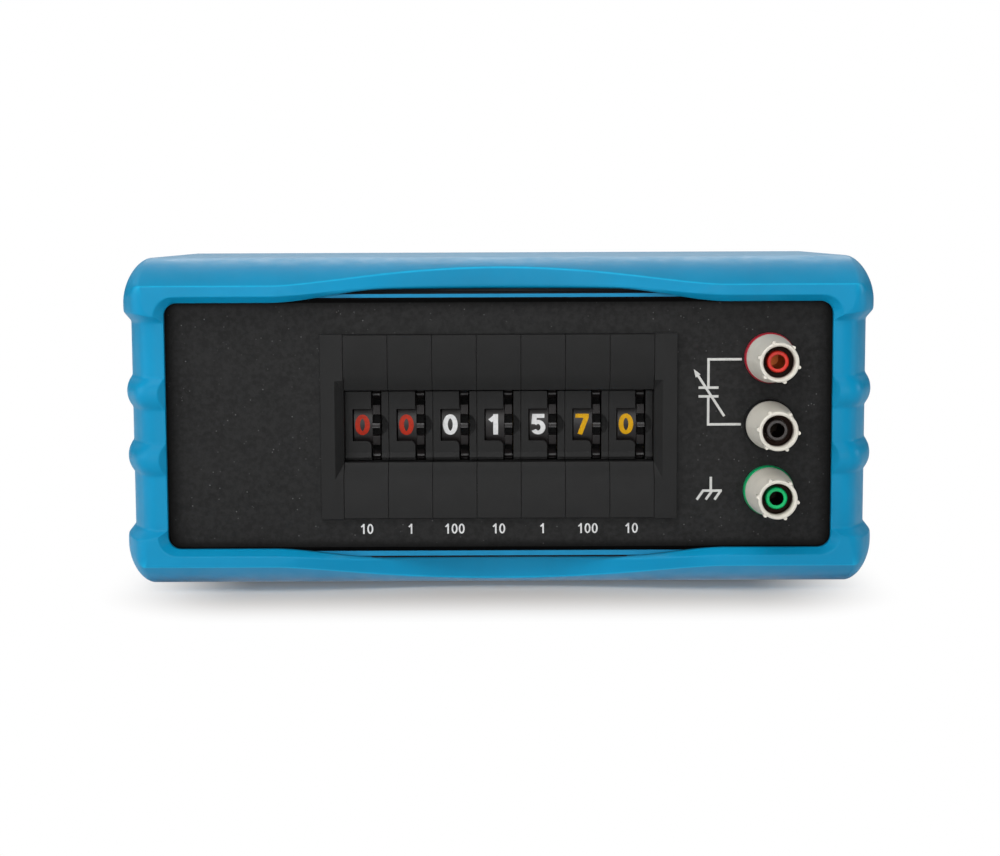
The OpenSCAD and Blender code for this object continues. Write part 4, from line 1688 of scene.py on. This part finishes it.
@dataclass(frozen=True)
class LegendForm:
    """Places of the print on the panel."""

    bank_z: float = -0.6
    numbers: tuple[str, ...] = ("10", "1", "100", "10", "1", "100", "10")
    number_x: tuple[float, ...] = (-38.2, -25.5, -12.9, -0.2, 12.4, 25.4, 38.0)
    number_z: float = -29.55
    lettering: Lettering = Lettering(0.86, 1.45, Nib(0.22, 0.2), 2.05)
    line: Nib = Nib(0.35, 0.35)
    cap_top: tuple[XZ, ...] = ((69.4, 19.0), (59.9, 19.0), (59.9, 10.9))
    cap_low: tuple[XZ, ...] = ((59.9, 8.4), (59.9, 0.35), (69.3, 0.35))
    plate_x: XZ = (57.1, 62.8)
    plate_z: XZ = (10.9, 8.4)
    arrow: tuple[XZ, ...] = ((64.5, 2.7), (56.9, 14.4))
    arrow_tip: XZ = (55.7, 16.2)
    arrow_head: float = 2.3
    arrow_half: float = 0.828
    ground_stem: tuple[XZ, ...] = ((60.8, -14.8), (60.8, -18.8))
    ground_bar: tuple[XZ, ...] = ((58.3, -18.8), (64.0, -18.8))
    ground_legs: tuple[float, ...] = (58.6, 61.2, 63.7)
    ground_leg: XZ = (-1.8, -2.6)


class PanelLegend(SubAssembly):
    """Plain numbers under the switches and the two symbols beside the posts."""

    form = LegendForm()

    def arrow_outline(self) -> list[XZ]:
        """Outline of the arrow's head.

        Returns:
            Its three corners.
        """
        f = self.form
        tip, tail = np.array(f.arrow_tip), np.array(f.arrow[0])
        along = (tip - tail) / np.linalg.norm(tip - tail)
        across = np.array((-along[1], along[0]))
        foot, side = tip - along * f.arrow_head, across * f.arrow_half
        return [tuple(tip), tuple(foot + side), tuple(foot - side)]

    def symbols(self) -> list[list[list[XZ]]]:
        """Variable capacitor between the upper posts, and chassis earth by the lower one.

        Returns:
            The outlines of each stroke.
        """
        f = self.form
        lines = [f.cap_top, f.cap_low, f.arrow, f.ground_stem, f.ground_bar]
        lines += [((f.plate_x[0], z), (f.plate_x[1], z)) for z in f.plate_z]
        z, (run, fall) = f.ground_bar[0][1], f.ground_leg
        lines += [((x, z), (x + run, z + fall)) for x in f.ground_legs]
        strokes = [stroke_loops(line, f.line, OPEN) for line in lines]
        return strokes + [[self.arrow_outline()]]

    def build(self) -> None:
        """Prints the panel."""
        f = self.form
        base = self.datum.origin + Vector((0, PRINT_SINK, f.bank_z)) * MM
        symbols = joined_meshes("panel_symbols", [(print_mesh(self.symbols()), base)])
        self.fit(symbols, "box", "print_white", finish="symbol_ink")
        numbers = [
            (print_mesh(f.lettering.loops(text)), base + Vector((x, 0, f.number_z)) * MM)
            for text, x in zip(f.numbers, f.number_x)
        ]
        self.fit(joined_meshes("panel_numbers", numbers), "box", "print_white")


@dataclass(frozen=True)
class BankForm:
    """Sizes of the switch bank that its looks need."""

    # The modules, side by side
    decades: int = 7
    pitch: float = 12.7
    bank_z: float = -0.6
    module_gap: float = 0.04
    # The drums and the figures on them
    axis_y: float = 19.0
    drum_r: float = 13.5
    digit_x: float = 4.95
    lettering: Lettering = Lettering(2.12, 3.0, Nib(0.7, 0.58))
    slice_h: float = 0.3
    setting: tuple[int, ...] = (0, 0, 0, 1, 5, 7, 0)
    inks: tuple[str, ...] = ("red", "red", "white", "white", "white", "yellow", "yellow")
    # Roundings of the moulded edges
    end_round: float = 0.16
    housing_round: float = 0.14
    wheel_round: float = 0.16

    def module_x(self, i: int) -> float:
        """Left edge of a module, counted from 0."""
        return (i - self.decades / 2) * self.pitch + self.module_gap / 2


class SwitchBank(SubAssembly):
    """Seven thumbwheel modules between two end caps."""

    form = BankForm()

    def wrap_tree(self) -> bpy.types.NodeTree:
        """Geometry tree that bends a flat strip of figures round a drum.

        Returns:
            The tree, with inputs for the drum's radius, its axis and the ink.
        """
        tree = bpy.data.node_groups.new("wrap_round_drum", "GeometryNodeTree")
        add_inputs(tree, Geometry=["Strip"], Float=["Radius", "Axis Y", "Axis Z"], Material=["Ink"])
        tree.interface.new_socket("Print", in_out="OUTPUT", socket_type="NodeSocketGeometry")
        b = Bench(tree)
        place = b.node("GeometryNodeInputPosition")
        x, y, z = (b.node("ShaderNodeSeparateXYZ", inputs={0: place}, output=k) for k in range(3))
        radius = b.group_input("Radius")
        turn = z / radius
        reach = radius - y
        bent = b.node(
            "ShaderNodeCombineXYZ",
            inputs={
                0: x,
                1: b.group_input("Axis Y") - reach * b.math("COSINE", turn),
                2: b.group_input("Axis Z") + reach * b.math("SINE", turn),
            },
        )
        wrapped = b.node(
            "GeometryNodeSetPosition", inputs={"Geometry": b.group_input("Strip"), "Position": bent}
        )
        real = b.node("GeometryNodeRealizeInstances", inputs={0: wrapped})
        inked = b.node(
            "GeometryNodeSetMaterial", inputs={"Geometry": real, "Material": b.group_input("Ink")}
        )
        b.node("NodeGroupOutput", inputs={0: inked})
        return tree

    def sliced(self, mesh: bpy.types.Mesh) -> bpy.types.Mesh:
        """Cuts flat figures across their height, so that they can follow a drum.

        Args:
            mesh: The figures.

        Returns:
            The same mesh.
        """
        f = self.form
        shape = bmesh.new()
        shape.from_mesh(mesh)
        cuts = int(f.lettering.half_h / f.slice_h)
        for k in range(-cuts, cuts + 1):
            geom = list(shape.verts) + list(shape.edges) + list(shape.faces)
            height = (0, 0, k * f.slice_h * MM)
            bmesh.ops.bisect_plane(shape, geom=geom, plane_co=height, plane_no=(0, 0, 1))
        shape.to_mesh(mesh)
        shape.free()
        return mesh

    def figures(self, i: int, tree: bpy.types.NodeTree, digits: list[bpy.types.Mesh]) -> None:
        """Puts the ten figures round one drum.

        Args:
            i: The wheel, counted from 0.
            tree: The tree that bends the strip.
            digits: The ten flat figures.
        """
        f = self.form
        slot = f"print_{f.inks[i]}"
        step = math.tau / len(digits) * f.drum_r * MM
        x = (f.module_x(i) + f.digit_x) * MM + self.datum.origin.x
        strip = [
            (digits[(f.setting[i] + k) % len(digits)], Vector((x, PRINT_SINK * MM, k * step)))
            for k in range(-4, 6)
        ]
        piece = joined_meshes(f"wheel_{i + 1}_figures", strip)
        bend = piece.modifiers.new("wrap", "NODES")
        bend.node_group = tree
        values = {
            "Radius": f.drum_r * MM,
            "Axis Y": f.axis_y * MM + self.datum.origin.y,
            "Axis Z": f.bank_z * MM + self.datum.origin.z,
            "Ink": self.paint.material(slot),
        }
        set_inputs(bend, values)
        baked(piece)
        self.fit(piece, f"wheel_{i + 1}", slot)

    def build(self) -> None:
        """Rounds the modules' edges, dresses the inner pieces and prints the drums."""
        f = self.form
        for end in ("left", "right"):
            self.soften_node(f"bank_end_{end}", f.end_round)
        tree = self.wrap_tree()
        digits = [self.sliced(print_mesh(f.lettering.loops(str(d)))) for d in range(10)]
        for i in range(f.decades):
            self.soften_node(f"switch_housing_{i + 1}", f.housing_round)
            self.soften_node(f"number_wheel_{i + 1}", f.wheel_round)
            self.dress_node(f"contact_wiper_{i + 1}", "wiper_brass_in_shade")
            self.figures(i, tree, digits)
        for node in ("detent_springs", "contact_boards", "bank_tie_rods", "tie_rod_nuts"):
            self.dress_node(node)


def set_inputs(modifier: bpy.types.Modifier, values: dict[str, object]) -> None:
    """Sets the inputs of a Geometry Nodes modifier by their sockets' identifiers.

    Args:
        modifier: The modifier, whose tree is already set.
        values: Values by input name.
    """
    for item in modifier.node_group.interface.items_tree:
        if item.item_type == "SOCKET" and item.in_out == "INPUT" and item.name in values:
            modifier[item.identifier] = values[item.name]


@dataclass(frozen=True)
class PostForm:
    """Sizes of one binding post, as distances in front of the panel and radii."""

    # The axes
    x: float = 77.2
    pitch: float = 19.05
    z: float = -0.2
    # The cap: its ends, the flange at its foot, the ring at its front, its mouth and its bore
    reach: float = 20.6
    foot: float = 2.6
    foot_r: float = 6.85
    flange: float = 4.6
    body_front: float = 16.4
    ring_r: float = 5.5
    ring: float = 17.2
    mouth_r: float = 4.55
    mouth: float = 6.6
    bore_r: float = 3.1
    recess_r: float = 5.7
    recess: float = 3.8
    # Ribs round the cap's ring
    ribs: int = 6
    rib_r: float = 0.5
    rib_out: float = 0.1
    rib_tip: float = 0.2
    rib_front: float = 20.4
    rib_back: float = 17.4
    rib_rows: int = 40
    rib_sides: int = 14
    # Thin dark sheet in the cap's mouth that carries its painted shade
    lining_t: float = 0.12
    lining_back: float = 0.5
    lining_deep: float = 4.4
    lining_gap: float = 0.005
    lining_color: RGB = (0.03, 0.013, 0.008)
    # Where the stud's painted shade gives way to bright brass, and the roundings of the collar and
    # the sleeve
    stud_bright: float = 9.0
    collar_round: float = 0.2
    sleeve_round: float = 0.12
    # How fine the turned pieces are
    sides: int = 96


@dataclass(frozen=True)
class PostKind:
    """One of the three posts: its colour's name, its place and the turn of its cap."""

    name: str
    step: int
    rib_angle: float
    # Colour painted in its socket: shade, and on the red post the red sleeve's reflection
    inside: RGB = (0.02, 0.016, 0.012)


POSTS = (
    PostKind("red", 1, 46.0, (0.55, 0.17, 0.05)),
    PostKind("black", 0, 55.0),
    PostKind("green", -1, 52.0),
)


class BindingPosts(SubAssembly):
    """Three safety binding posts with screw caps."""

    form = PostForm()

    def turned(self, name: str, kind: PostKind, profile: Sequence[XZ]) -> bpy.types.Object:
        """Turns a closed profile round a post's axis.

        Args:
            name: Name of the piece.
            kind: The post.
            profile: Radius and distance in front of the panel, all at a radius above 0.

        Returns:
            The turned piece.
        """
        f = self.form
        rows = []
        for k in range(f.sides):
            a = 2 * math.pi * k / f.sides
            across, up = math.cos(a), math.sin(a)
            rows += [(f.x + r * across, -d, self.post_z(kind) + r * up) for r, d in profile]
        faces = loop_faces(f.sides, len(profile), True, True)
        return outward(solid_piece(name, self.datum.metres(rows), faces, sharp_deg=50.0))

    def post_z(self, kind: PostKind) -> float:
        """Height of a post's axis over the middle of the boot."""
        return self.form.z + kind.step * self.form.pitch

    def cap_profile(self) -> list[XZ]:
        """Section of the cap from its bore round the foot, body and ring back into the mouth.

        Returns:
            Radius and distance in front of the panel, with each corner rounded.
        """
        f = self.form
        corners = [
            (f.recess_r, f.foot, 0.1), (f.foot_r, f.foot, 0.3), (f.foot_r, f.flange, 0.5),
            (f.ring_r + 0.05, f.body_front, 0.4),
            (f.ring_r, f.ring, 0.3), (f.ring_r, f.reach, 0.5), (f.mouth_r, f.reach, 0.4),
            (f.mouth_r, f.reach - f.mouth, 0.3), (f.bore_r, f.reach - f.mouth, 0.2),
            (f.bore_r, f.recess, 0.1), (f.recess_r, f.recess, 0.1),
        ]
        points = [np.array((r, d, 0.0)) for r, d, _ in corners]
        ring = points[-1:] + points + points[:1]
        rounded = rounded_corners(ring, [0.0] + [c[2] for c in corners] + [0.0])
        return [(p[0], p[1]) for p in rounded[1:-1]]

    def rib_tree(self) -> bpy.types.NodeTree:
        """Geometry tree that sets round-nosed ribs round a cap.

        Returns:
            The tree, with inputs for the ribs' number, size and place.
        """
        f = self.form
        tree = bpy.data.node_groups.new("rib_ring", "GeometryNodeTree")
        add_inputs(
            tree,
            Geometry=["Cap"],
            Int=["Count"],
            Float=["Ring Radius", "Rib Radius", "Front", "Back", "Turn"],
            Vector=["Middle"],
            Material=["Plastic"],
        )
        tree.interface.new_socket("Ribbed Cap", in_out="OUTPUT", socket_type="NodeSocketGeometry")
        b = Bench(tree)
        front = b.node("ShaderNodeCombineXYZ", inputs={1: b.group_input("Front")})
        back = b.node("ShaderNodeCombineXYZ", inputs={1: b.group_input("Back")})
        line = b.node("GeometryNodeCurvePrimitiveLine", inputs={"Start": front, "End": back})
        fine = b.node("GeometryNodeResampleCurve", inputs={"Curve": line, "Count": f.rib_rows})
        along = b.node("GeometryNodeSplineParameter", output="Length")
        near = b.math("MINIMUM", along / b.group_input("Rib Radius"), 1.0)
        nose = b.math("SQRT", b.math("MAXIMUM", 1.0 - (1.0 - near) ** 2.0, f.rib_tip**2))
        shaped = b.node("GeometryNodeSetCurveRadius", inputs={"Curve": fine, "Radius": nose})
        rim = b.node(
            "GeometryNodeCurvePrimitiveCircle",
            {"mode": "RADIUS"},
            {"Resolution": f.rib_sides, "Radius": b.group_input("Rib Radius")},
        )
        rib = b.node(
            "GeometryNodeCurveToMesh",
            inputs={"Curve": shaped, "Profile Curve": rim, "Fill Caps": True},
        )
        ring = b.node(
            "GeometryNodeMeshCircle",
            inputs={"Vertices": b.group_input("Count"), "Radius": b.group_input("Ring Radius")},
        )
        turn = b.node(
            "ShaderNodeCombineXYZ", inputs={0: math.pi / 2, 2: 0.0, 1: b.group_input("Turn")}
        )
        upright = b.node(
            "GeometryNodeTransform",
            inputs={"Geometry": ring, "Rotation": turn, "Translation": b.group_input("Middle")},
        )
        ribs = b.node(
            "GeometryNodeInstanceOnPoints", inputs={"Points": upright, "Instance": rib}
        )
        real = b.node("GeometryNodeRealizeInstances", inputs={0: ribs})
        smooth = b.node("GeometryNodeSetShadeSmooth", inputs={"Geometry": real})
        whole = b.node("GeometryNodeJoinGeometry", inputs={0: smooth})
        tree.links.new(b.group_input("Cap").socket, whole.socket.node.inputs[0])
        coated = b.node(
            "GeometryNodeSetMaterial",
            inputs={"Geometry": whole, "Material": b.group_input("Plastic")},
        )
        b.node("NodeGroupOutput", inputs={0: coated})
        return tree

    def lining(self, kind: PostKind) -> None:
        """Lays a thin sheet in a cap's mouth, which carries the mouth's painted shade.

        Args:
            kind: The post.
        """
        f = self.form
        front, floor = f.reach - f.lining_back, f.reach - f.mouth + f.lining_t
        outer, inner = f.mouth_r - f.lining_gap, f.mouth_r - f.lining_t
        bore, base = f.bore_r + 0.05, floor - f.lining_t + f.lining_gap
        profile = [
            (outer, front), (inner, front - 0.1), (inner, floor), (bore, floor),
            (bore, base), (outer, base),
        ]
        piece = self.turned(f"{kind.name}_cap_lining", kind, profile)
        self.fit(piece, f"{kind.name}_cap", "ivory_plastic", finish="cap_mouth_shade")

    def cap(self, kind: PostKind, tree: bpy.types.NodeTree) -> None:
        """Builds one cap with its ribs.

        Args:
            kind: The post.
            tree: The tree that sets the ribs.
        """
        f = self.form
        piece = self.turned(f"{kind.name}_screw_cap", kind, self.cap_profile())
        ribs = piece.modifiers.new("ribs", "NODES")
        ribs.node_group = tree
        middle = self.datum.metres([(f.x, 0.0, self.post_z(kind))])[0]
        values = {
            "Count": f.ribs,
            "Ring Radius": (f.ring_r + f.rib_out) * MM,
            "Rib Radius": f.rib_r * MM,
            "Front": -f.rib_front * MM,
            "Back": -f.rib_back * MM,
            "Turn": math.radians(-kind.rib_angle),
            "Middle": tuple(middle),
            "Plastic": self.paint.material("ivory_plastic"),
        }
        set_inputs(ribs, values)
        baked(piece)
        even_normals(piece)
        self.fit(piece, f"{kind.name}_cap", "ivory_plastic", f"{kind.name}_post_cap")

    def stud(self, kind: PostKind) -> None:
        """Dresses a stud, bright where its cap slides and painted dark as shade in its socket.

        Args:
            kind: The post.
        """
        f = self.form
        place = self.datum.metres([(f.x, -f.stud_bright, self.post_z(kind))])[0] / MM
        finish = StudBrass(f"{kind.name.title()}StudBrass", BRASS, kind.inside, *place.tolist())
        self.dress_node(f"{kind.name}_post_stud", self.paint.add(f"{kind.name}_stud", finish))

    def build(self) -> None:
        """Builds the caps and rounds the other pieces of each post."""
        f = self.form
        front = self.datum.origin.y / MM - f.reach
        rim, deep = front + f.lining_back, front + f.lining_deep
        self.paint.add("cap_mouth_shade", SootedWall("CapLining", IVORY, f.lining_color, rim, deep))
        tree = self.rib_tree()
        for kind in POSTS:
            self.cap(kind, tree)
            self.lining(kind)
            self.soften_node(f"{kind.name}_post_collar", f.collar_round)
            self.soften_node(f"{kind.name}_post_sleeve", f.sleeve_round)
            self.dress_node(f"{kind.name}_post_washer")
            self.stud(kind)
        for node in ("post_bushes", "post_nuts", "solder_tags"):
            self.dress_node(node)


class Internals(SubAssembly):
    """Capacitor board, its parts and the leads."""

    def build(self) -> None:
        """Dresses the inner pieces."""
        for node in (
            "capacitor_board", "large_film_capacitors", "small_film_capacitors",
            "mica_capacitors", "board_screws", "post_leads", "bank_leads",
        ):
            self.dress_node(node)


@dataclass(frozen=True)
class Lamp:
    """A soft box: its place and size in metres, its power in watts and what it points at."""

    name: str
    place: Point
    size: tuple[float, float]
    power: float
    aim: Point = (0.0, 0.0, 0.05)


class Studio:
    """Floor, lights, world and camera."""

    lamps = (
        Lamp("top_box", (-0.2, -0.7, 1.0), (1.2, 0.6), 8.0),
        Lamp("left_box", (-1.1, -0.8, 0.5), (0.5, 0.7), 4.3),
        Lamp("left_edge_box", (-1.2, -0.12, 0.3), (0.3, 0.4), 2.2),
        Lamp("right_edge_box", (1.2, -0.12, 0.3), (0.3, 0.4), 3.2),
        Lamp("front_box", (-0.1, -1.6, 0.3), (1.4, 0.6), 9.5),
        Lamp("rear_box", (0.0, 1.5, 0.9), (1.2, 0.6), 5.0),
    )
    # Camera: the photograph's width and focal length in pixels, its place in panel millimetres
    image_w = 1000.0
    sensor_mm = 36.0
    focal_px = 1909.6
    camera_place: Point = (0.3, -544.0, 56.4)
    pitch_deg = 6.03
    roll_deg = -0.23
    # World: a pale fill, and in gloss a glow that fades with the angle from glow_way
    ambient = 0.1
    front_dim = 0.03
    glow_way: Point = (0.0, 0.6, 0.8)
    glow_fade = (0.5, 0.92)
    # Floor: half its width, how white gloss sees it by the box, and how much less elsewhere
    floor_half = 4.0
    floor_mirror = 0.8
    floor_mirror_fall = 0.65
    # Where the camera sees the shadow on it, before it fades to white, and its colour there
    floor_clear: Point = (0.07, 0.055, 0.0)
    floor_fade = 0.046
    floor_least = 0.1
    floor_seen: RGB = (0.62, 0.58, 0.55)
    # What it throws back on the box
    floor_bounce: RGB = (0.97, 0.97, 0.97)

    def __init__(self, datum: Datum) -> None:
        """Keeps the datum that the camera stands by.

        Args:
            datum: Place of the panel's axes.
        """
        self.datum = datum

    def camera(self) -> None:
        """Stands the camera where the photograph was taken from."""
        data = bpy.data.cameras.new("camera")
        data.sensor_fit = "HORIZONTAL"
        data.sensor_width = self.sensor_mm
        data.lens = self.focal_px / self.image_w * self.sensor_mm
        camera = bpy.data.objects.new("camera", data)
        bpy.context.scene.collection.objects.link(camera)
        pitch, roll = math.radians(self.pitch_deg), math.radians(self.roll_deg)
        ahead = Vector((0.0, math.cos(pitch), -math.sin(pitch)))
        right = Vector((1.0, 0.0, 0.0))
        up = right.cross(ahead)
        tilted = right * math.cos(roll) + up * math.sin(roll)
        top = up * math.cos(roll) - right * math.sin(roll)
        pose = Matrix((tilted, top, -ahead)).transposed().to_4x4()
        pose.translation = Vector(self.datum.metres([self.camera_place])[0])
        camera.matrix_world = pose
        bpy.context.scene.camera = camera

    def lights(self) -> None:
        """Hangs the soft boxes."""
        for lamp in self.lamps:
            data = bpy.data.lights.new(lamp.name, "AREA")
            data.shape = "RECTANGLE"
            data.size, data.size_y = lamp.size
            data.energy = lamp.power
            light = bpy.data.objects.new(lamp.name, data)
            bpy.context.scene.collection.objects.link(light)
            light.location = lamp.place
            way = Vector(lamp.aim) - Vector(lamp.place)
            light.rotation_euler = way.to_track_quat("-Z", "Y").to_euler()

    @staticmethod
    def ray(bench: Bench, *kinds: str) -> Signal:
        """Tells kinds of light paths apart.

        Args:
            bench: The builder of the tree that asks.
            *kinds: Kinds of ray, as Light Path names them.

        Returns:
            1 for rays of any of these kinds, else 0.
        """
        total = bench.math("ADD", 0.0, 0.0)
        for kind in kinds:
            total = total + bench.node("ShaderNodeLightPath", output=f"Is {kind} Ray")
        return bench.math("MINIMUM", total, 1.0)

    def rays(self, bench: Bench) -> tuple[Signal, Signal]:
        """1 for what the camera sees itself, and 1 for what it sees in gloss or through glass."""
        camera = self.ray(bench, "Camera")
        return camera, self.ray(bench, "Glossy", "Transmission") * (1.0 - camera)

    def world(self) -> None:
        """White where it is seen, dark towards the front in gloss, a pale fill elsewhere."""
        world = bpy.data.worlds.new("studio")
        world.use_nodes = True
        bpy.context.scene.world = world
        b = Bench(world.node_tree)
        way = b.node("ShaderNodeTexCoord", output="Generated")
        back = b.vector("DOT_PRODUCT", way, self.glow_way, output="Value")
        glow = b.ramp_up(back, *self.glow_fade, least=self.front_dim)
        camera, mirror = self.rays(b)
        strength = camera + mirror * glow + (1.0 - camera - mirror) * self.ambient
        sky = b.node(
            "ShaderNodeBackground", inputs={"Color": WHITE, "Strength": strength}
        )
        b.node("ShaderNodeOutputWorld", inputs={"Surface": sky})

    def floor(self) -> None:
        """Lays the pale floor that keeps the box's shadow."""
        signs = ((-1, -1, 0), (1, -1, 0), (1, 1, 0), (-1, 1, 0))
        floor = solid_piece("floor", np.array(signs, float) * self.floor_half, [(0, 1, 2, 3)])
        material = bpy.data.materials.new("PaleFloor")
        material.use_nodes = True
        b = Bench(material.node_tree)
        camera, mirror = self.rays(b)
        tint = b.blend(camera, self.floor_bounce, self.floor_seen)
        matt = b.node("ShaderNodeBsdfDiffuse", inputs={"Color": tint})
        glow = b.node("ShaderNodeEmission", inputs={"Color": WHITE, "Strength": 1.0})
        across = b.vector("ABSOLUTE", b.node("ShaderNodeTexCoord", output="Object"))
        past = b.vector("SUBTRACT", across, self.floor_clear)
        outside = b.vector("MAXIMUM", past, (0.0, 0.0, 0.0))
        away = b.vector("LENGTH", outside, output="Value")
        share = b.ramp_up(away, 0.0, self.floor_fade, least=self.floor_least)
        glowing = camera * share + mirror * (self.floor_mirror - share * self.floor_mirror_fall)
        mixed = b.node("ShaderNodeMixShader", inputs={0: glowing, 1: matt, 2: glow})
        b.node("ShaderNodeOutputMaterial", inputs={"Surface": mixed})
        floor.data.materials.append(material)

    def build(self) -> None:
        """Sets up the studio."""
        self.camera()
        self.lights()
        self.world()
        self.floor()
        bpy.context.scene.view_settings.view_transform = "Standard"


def main() -> None:
    """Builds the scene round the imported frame."""
    logging.basicConfig(level=logging.INFO, format="%(name)s: %(message)s")
    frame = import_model()
    datum = Datum.from_frame()
    Studio(datum).build()
    paint = PaintShop()
    for part in (ProtectiveBoot, CaseAndPanels, PanelLegend, SwitchBank, BindingPosts, Internals):
        part(frame, datum, paint).build()


if __name__ == "__main__":
    main()
